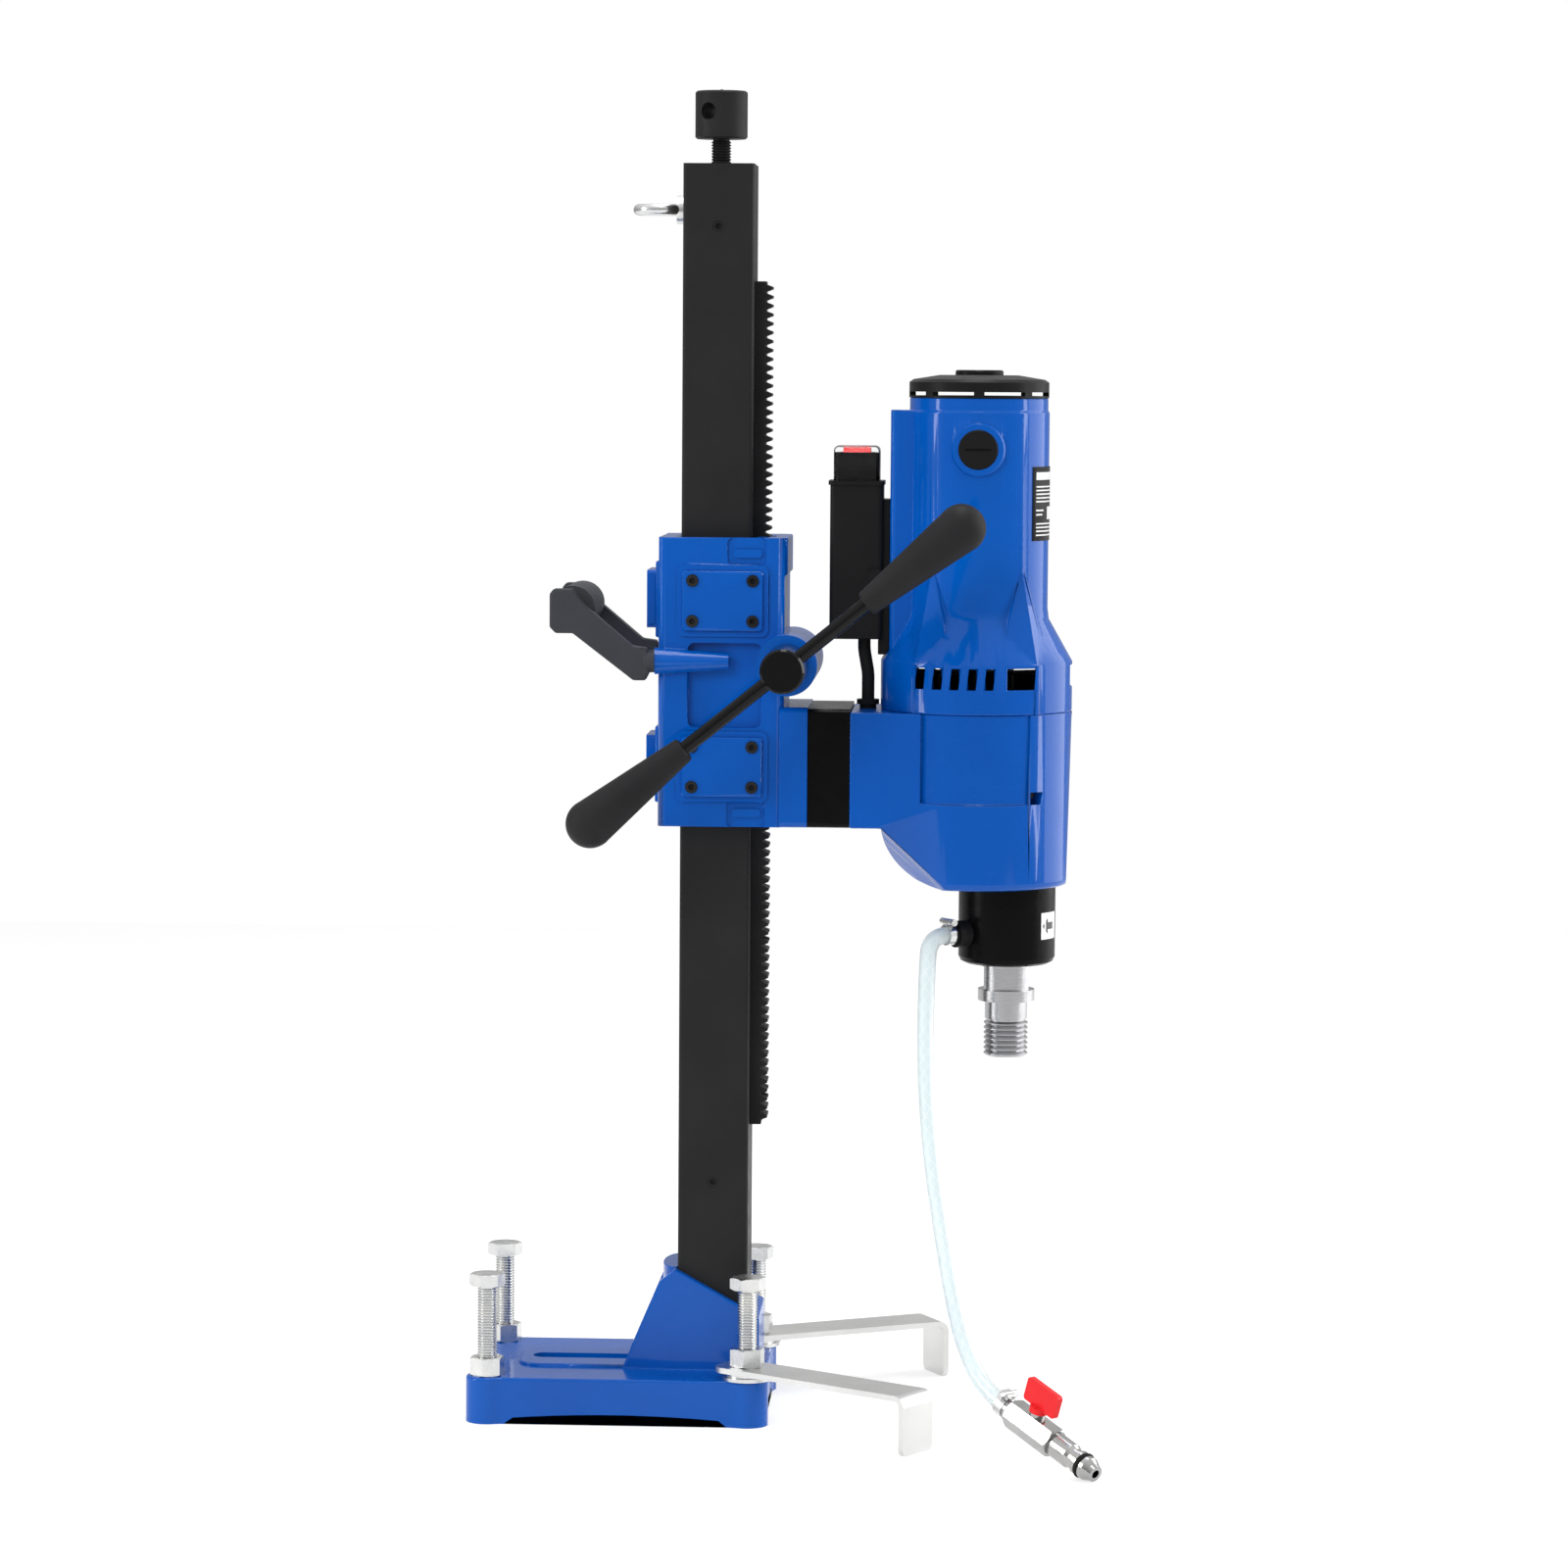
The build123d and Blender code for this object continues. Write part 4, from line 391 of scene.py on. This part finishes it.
def smoothPath(points, steps):
    curve = bpy.data.curves.new("guide", "CURVE")
    curve.dimensions = "3D"
    spline = curve.splines.new("NURBS")
    spline.points.add(len(points) - 1)
    for point, place in zip(spline.points, points):
        point.co = (*place, 1)
    spline.order_u = 3
    spline.use_endpoint_u = True
    spline.resolution_u = steps
    guide = bpy.data.objects.new("guide", curve)
    scene.collection.objects.link(guide)
    mesh = bpy.data.meshes.new_from_object(guide)
    path = [v.co.copy() for v in mesh.vertices]
    bpy.data.objects.remove(guide)
    bpy.data.meshes.remove(mesh)
    return path


def tubeAlong(path, radius, sides):
    # one ring is carried along the path, turning with it
    bm = bmesh.new()
    forward = (path[1] - path[0]).normalized()
    facing = Vector((0, 0, 1)).rotation_difference(forward).to_matrix().to_4x4()
    start = Matrix.Translation(path[0]) @ facing
    made = bmesh.ops.create_circle(bm, segments=sides, radius=radius, matrix=start)
    uvLayer = bm.loops.layers.uv.new("UVMap")
    ring = made["verts"]
    edges = [e for e in bm.edges]
    travelled = 0.0
    for before, here, after in zip(path, path[1:], path[2:] + [path[-1] * 2 - path[-2]]):
        oldCount = len(bm.faces)
        bm.faces.ensure_lookup_table()
        made = bmesh.ops.extrude_edge_only(bm, edges=edges)
        ring = [g for g in made["geom"] if isinstance(g, bmesh.types.BMVert)]
        edges = [g for g in made["geom"] if isinstance(g, bmesh.types.BMEdge)]
        edges = [e for e in edges if all(v in ring for v in e.verts)]
        ahead = ((here - before).normalized() + (after - here).normalized()).normalized()
        swing = forward.rotation_difference(ahead).to_matrix().to_4x4()
        move = Matrix.Translation(here) @ swing @ Matrix.Translation(-before)
        bmesh.ops.transform(bm, matrix=move, verts=ring)
        step = (here - before).length
        bm.faces.ensure_lookup_table()
        for face in bm.faces[oldCount:]:
            for loop in face.loops:
                far = loop.vert in ring
                middle = here if far else before
                out = loop.vert.co - middle
                angle = math.atan2(out.dot(Vector((0, 1, 0))), out.dot(Vector((1, 0, 0))))
                loop[uvLayer].uv = (angle / math.pi, (travelled + (step if far else 0)) / (math.pi * radius))
        travelled += step
        forward = ahead
    bmesh.ops.recalc_face_normals(bm, faces=bm.faces)
    return bm


hosePath = smoothPath([at(*p) for p in hose["route"]], 10)
hoseTube = tubeAlong(hosePath, hose["radius"], hose["sides"])
hosePiece = newPiece("hose_clear", hoseTube, None, [finishes["hose_plastic"]])
wall = hosePiece.modifiers.new("wall", "SOLIDIFY")
wall.thickness = hose["wall"]
wall.offset = -1
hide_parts("water_hose")
hoseLength = sum((b - a).length for a, b in zip(hosePath, hosePath[1:]))
print("hose length", round(hoseLength, 4))
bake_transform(hosePiece)

# small pieces that the solid model leaves out
motorAxis = (184.0, 0.0)
plate = {
    "radius": 50.65,
    "thickness": 0.6,
    "low": 627.0,
    "high": 679.0,
    "from": -40.0,
    "to": 37.5,
    "lift": 0.12,
    "rows": [  # height, thickness, first and last share of the plate's width
        (672.5, 5.4, 0.05, 0.62), (665.0, 1.0, 0.05, 0.95), (662.4, 1.0, 0.05, 0.9), (659.8, 1.0, 0.05, 0.95),
        (657.2, 1.0, 0.05, 0.84), (654.6, 1.0, 0.05, 0.92), (648.4, 1.1, 0.05, 0.2), (645.4, 1.1, 0.05, 0.17),
        (646.4, 9.0, 0.3, 0.48), (639.0, 1.0, 0.05, 0.95), (636.4, 1.0, 0.05, 0.9), (633.8, 1.0, 0.05, 0.95),
        (631.0, 1.0, 0.05, 0.86),
    ],
}


def curvedPatch(bm, axis, radius, low, high, start, end, steps=14):
    # a printed strip that follows a round wall; angles in degrees from +X
    first = math.radians(start)
    sweep = math.radians(end - start)
    x, y = axis[0] + radius * math.cos(first), axis[1] + radius * math.sin(first)
    verts = [bm.verts.new(at(x, y, z)) for z in (low, high)]
    edge = bm.edges.new(verts)
    bmesh.ops.spin(
        bm, geom=verts + [edge], cent=at(*axis, 0), axis=(0, 0, 1), angle=sweep, steps=steps,
        use_duplicate=False,
    )


def faceOutwards(bm, axis):
    # every face of a curved strip looks away from its axis
    middle = at(*axis, 0)
    bm.normal_update()
    inward = []
    for face in bm.faces:
        outward = (face.calc_center_median() - middle).to_2d()
        if outward.dot(face.normal.to_2d()) < 0:
            inward.append(face)
    bmesh.ops.reverse_faces(bm, faces=inward)


def printFinish(name, colour):
    material, tree, shader, where = startMaterial(name, colour, 0.4)
    grain = noise(tree, where.outputs["Object"], 700, 2)
    tree.links.new(between(tree, grain, 0.36, 0.46), shader.inputs["Roughness"])
    return material


palePrint = printFinish("palePrint", (0.6, 0.6, 0.6))
labelPaper = printFinish("labelPaper", (0.78, 0.78, 0.78))
darkPrint = printFinish("darkPrint", (0.02, 0.02, 0.02))

sheet = bmesh.new()
curvedPatch(sheet, motorAxis, plate["radius"], plate["low"], plate["high"], plate["from"], plate["to"], 24)
faceOutwards(sheet, motorAxis)
platePiece = newPiece("plate_sheet", sheet, "carriage", [finishes["plate_print"]])
wall = platePiece.modifiers.new("wall", "SOLIDIFY")
wall.thickness = plate["thickness"] / 1000
wall.offset = -1
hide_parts("rating_plate")

bars = bmesh.new()
width = plate["to"] - plate["from"]
for height, thick, first, last in plate["rows"]:
    ends = (plate["from"] + width * first, plate["from"] + width * last)
    radius = plate["radius"] + plate["lift"]
    curvedPatch(bars, motorAxis, radius, height - thick / 2, height + thick / 2, *ends)
faceOutwards(bars, motorAxis)
newPiece("plate_bars", bars, "carriage", [palePrint])

sticker = {
    "axis": (207.5, 0.0),
    "radius": 34.62,
    "middle": 353.5,
    "height": 19.0,
    "from": -45.0,
    "to": -13.0,
    "arrow": 12.0,
}
label = bmesh.new()
low, high = sticker["middle"] - sticker["height"] / 2, sticker["middle"] + sticker["height"] / 2
curvedPatch(label, sticker["axis"], sticker["radius"], low, high, sticker["from"], sticker["to"], 16)
faceOutwards(label, sticker["axis"])
newPiece("collar_label", label, "carriage", [labelPaper])


def onCollar(across, up, lift):
    # a point of the label: across in degrees from its middle, up in mm
    turned = math.radians((sticker["from"] + sticker["to"]) / 2 + across)
    radius = sticker["radius"] + lift
    x, y = sticker["axis"]
    return at(x + radius * math.cos(turned), y + radius * math.sin(turned), sticker["middle"] + up)


arrow = bmesh.new()
half = sticker["arrow"] / 2
tip, headLength, stemStep, stemShare, lift = -14, 10, 3, 0.42, 0.12  # degrees along the collar, then mm
headCorners = ((0, 0), (headLength, -half), (headLength, half))
head = [arrow.verts.new(onCollar(tip + along, up, lift)) for along, up in headCorners]
arrow.faces.new(head)
for step in range(4):
    start = tip + headLength + step * stemStep
    ends = ((start, -1), (start + stemStep, -1), (start + stemStep, 1), (start, 1))
    corners = [onCollar(along, side * half * stemShare, lift) for along, side in ends]
    arrow.faces.new([arrow.verts.new(corner) for corner in corners])
bmesh.ops.remove_doubles(arrow, verts=arrow.verts, dist=mergeDistance)
faceOutwards(arrow, sticker["axis"])
newPiece("label_arrow", arrow, "carriage", [darkPrint])

tap = {
    "start": (212.8, -166.0, 35.7),
    "end": (271.2, -228.5, 5.8),
    "ringFromEnd": 12.0,
    "ringRadius": 7.9,
    "ringThickness": 1.4,
}


def ringPiece(name, centre, axis, radius, thickness, body, material, sides=48):
    # a round ring by spinning a small circle about its own axis
    bm = bmesh.new()
    upright = Matrix.Translation((radius, 0, 0)) @ Matrix.Rotation(math.pi / 2, 4, "X")
    made = bmesh.ops.create_circle(bm, segments=14, radius=thickness, matrix=upright)
    geometry = made["verts"] + list(bm.edges)
    bmesh.ops.spin(
        bm, geom=geometry, cent=(0, 0, 0), axis=(0, 0, 1), angle=2 * math.pi, steps=sides, use_merge=True,
    )
    bmesh.ops.recalc_face_normals(bm, faces=bm.faces)
    facing = Vector((0, 0, 1)).rotation_difference(axis).to_matrix().to_4x4()
    bmesh.ops.transform(bm, matrix=Matrix.Translation(centre) @ facing, verts=bm.verts)
    return newPiece(name, bm, body, [material], 60)


tapStart, tapEnd = at(*tap["start"]), at(*tap["end"])
tapAxis = (tapEnd - tapStart).normalized()
ringPiece(
    "nipple_ring", tapEnd - tapAxis * tap["ringFromEnd"] / 1000, tapAxis, tap["ringRadius"] / 1000,
    tap["ringThickness"] / 1000, "stand", finishes["rubber"],
)
boot = {
    "low": (81.7, -16.3, 668.2),
    "high": (114.3, 16.3, 692.6),
    "rounding": 3.5,
    "wall": 0.8,
}


def clearBoot():
    # a soft clear cover over the rocker, open below
    low, high = at(*boot["low"]), at(*boot["high"])
    bm = bmesh.new()
    size = Matrix.Diagonal((*(high - low), 1))
    bmesh.ops.create_cube(bm, size=1, matrix=Matrix.Translation((low + high) / 2) @ size)
    under = [f for f in bm.faces if f.normal.z < -0.9]
    bmesh.ops.delete(bm, geom=under, context="FACES_ONLY")
    edges = [e for e in bm.edges if e.is_manifold]
    bmesh.ops.bevel(
        bm, geom=edges, offset=boot["rounding"] / 1000, offset_type="OFFSET", segments=4, profile=0.5,
        affect="EDGES", clamp_overlap=True, material=-1,
    )
    material, tree, shader, where = startMaterial("clearBoot", (0.97, 0.97, 0.97), 0.03)
    shader.inputs["Transmission Weight"].default_value = 1.0
    shader.inputs["IOR"].default_value = 1.12
    haze = between(tree, noise(tree, where.outputs["Object"], 90, 3), 0.01, 0.06)
    tree.links.new(haze, shader.inputs["Roughness"])
    piece = newPiece("switch_boot", bm, "carriage", [material], 60)
    skin = piece.modifiers.new("skin", "SOLIDIFY")
    skin.thickness = boot["wall"] / 1000
    skin.offset = -1


clearBoot()
print("labels, ring and boot made")

# floor and light
studio = {
    "floorSize": 6.0,
    "floorColour": (0.45, 0.45, 0.45),
    "floorGlow": 0.6,
    "fill": 0.6,
    "mirrored": (0.42, 1.5),  # near the floor, overhead
    "backdrop": 1.0,
    "boxes": [
        # place, size, power, shows in reflections
        ((-1.7, -3.2, 2.4), (1.8, 1.8), 70, False),
        ((-2.7, -0.9, 1.2), (0.35, 2.4), 28, True),
        ((2.5, 1.0, 1.2), (2.2, 2.6), 52, True),
        ((2.8, -0.3, 1.3), (0.35, 2.4), 26, True),
        ((0.1, 0.0, 2.9), (2.6, 0.6), 34, True),
    ],
    "aim": (0.03, 0.0, 0.5),
}


def addFloor():
    bm = bmesh.new()
    bmesh.ops.create_grid(bm, x_segments=2, y_segments=2, size=studio["floorSize"] / 2)
    mesh = bpy.data.meshes.new("floor")
    bm.to_mesh(mesh)
    bm.free()
    floor = bpy.data.objects.new("floor", mesh)
    scene.collection.objects.link(floor)
    material, tree, shader, where = startMaterial("floorPaper", studio["floorColour"], 1.0)
    shader.inputs["Specular IOR Level"].default_value = 0.0
    shader.inputs["Emission Color"].default_value = (1, 1, 1, 1)
    shader.inputs["Emission Strength"].default_value = studio["floorGlow"]
    mesh.materials.append(material)


def mixed(tree, factor, first, second):
    choose = tree.nodes.new("ShaderNodeMixShader")
    tree.links.new(factor, choose.inputs["Fac"])
    tree.links.new(first, choose.inputs[1])
    tree.links.new(second, choose.inputs[2])
    return choose.outputs["Shader"]


def whiteSky(tree, strength):
    sky = tree.nodes.new("ShaderNodeBackground")
    sky.inputs["Color"].default_value = (1, 1, 1, 1)
    sky.inputs["Strength"].default_value = strength
    return sky.outputs["Background"]


def addLights():
    for number, (place, size, power, mirrored) in enumerate(studio["boxes"]):
        light = bpy.data.lights.new("softBox%d" % number, "AREA")
        light.shape = "RECTANGLE"
        light.size, light.size_y = size
        light.energy = power
        lamp = bpy.data.objects.new("softBox%d" % number, light)
        scene.collection.objects.link(lamp)
        lamp.location = place
        lamp.visible_glossy = mirrored
        lamp.rotation_euler = (Vector(studio["aim"]) - Vector(place)).to_track_quat("-Z", "Y").to_euler()
    world = bpy.data.worlds.new("studio")
    scene.world = world
    world.use_nodes = True
    tree = world.node_tree
    tree.nodes.remove(tree.nodes["Background"])
    rays = tree.nodes.new("ShaderNodeLightPath")
    # a soft room in reflections, an even light on the rig and white paper behind it
    direction = tree.nodes.new("ShaderNodeTexCoord")
    split = tree.nodes.new("ShaderNodeSeparateXYZ")
    tree.links.new(direction.outputs["Generated"], split.inputs["Vector"])
    rise = tree.nodes.new("ShaderNodeMapRange")
    rise.inputs["To Min"].default_value, rise.inputs["To Max"].default_value = studio["mirrored"]
    tree.links.new(split.outputs["Z"], rise.inputs["Value"])
    mirroredSky = tree.nodes.new("ShaderNodeBackground")
    tree.links.new(rise.outputs["Result"], mirroredSky.inputs["Strength"])
    fill = whiteSky(tree, studio["fill"])
    room = mixed(tree, rays.outputs["Is Glossy Ray"], fill, mirroredSky.outputs["Background"])
    seen = mixed(tree, rays.outputs["Is Transmission Ray"], room, whiteSky(tree, studio["backdrop"]))
    seen = mixed(tree, rays.outputs["Is Camera Ray"], seen, whiteSky(tree, studio["backdrop"]))
    tree.links.new(seen, tree.nodes["World Output"].inputs["Surface"])


addFloor()
addLights()
print("studio set")
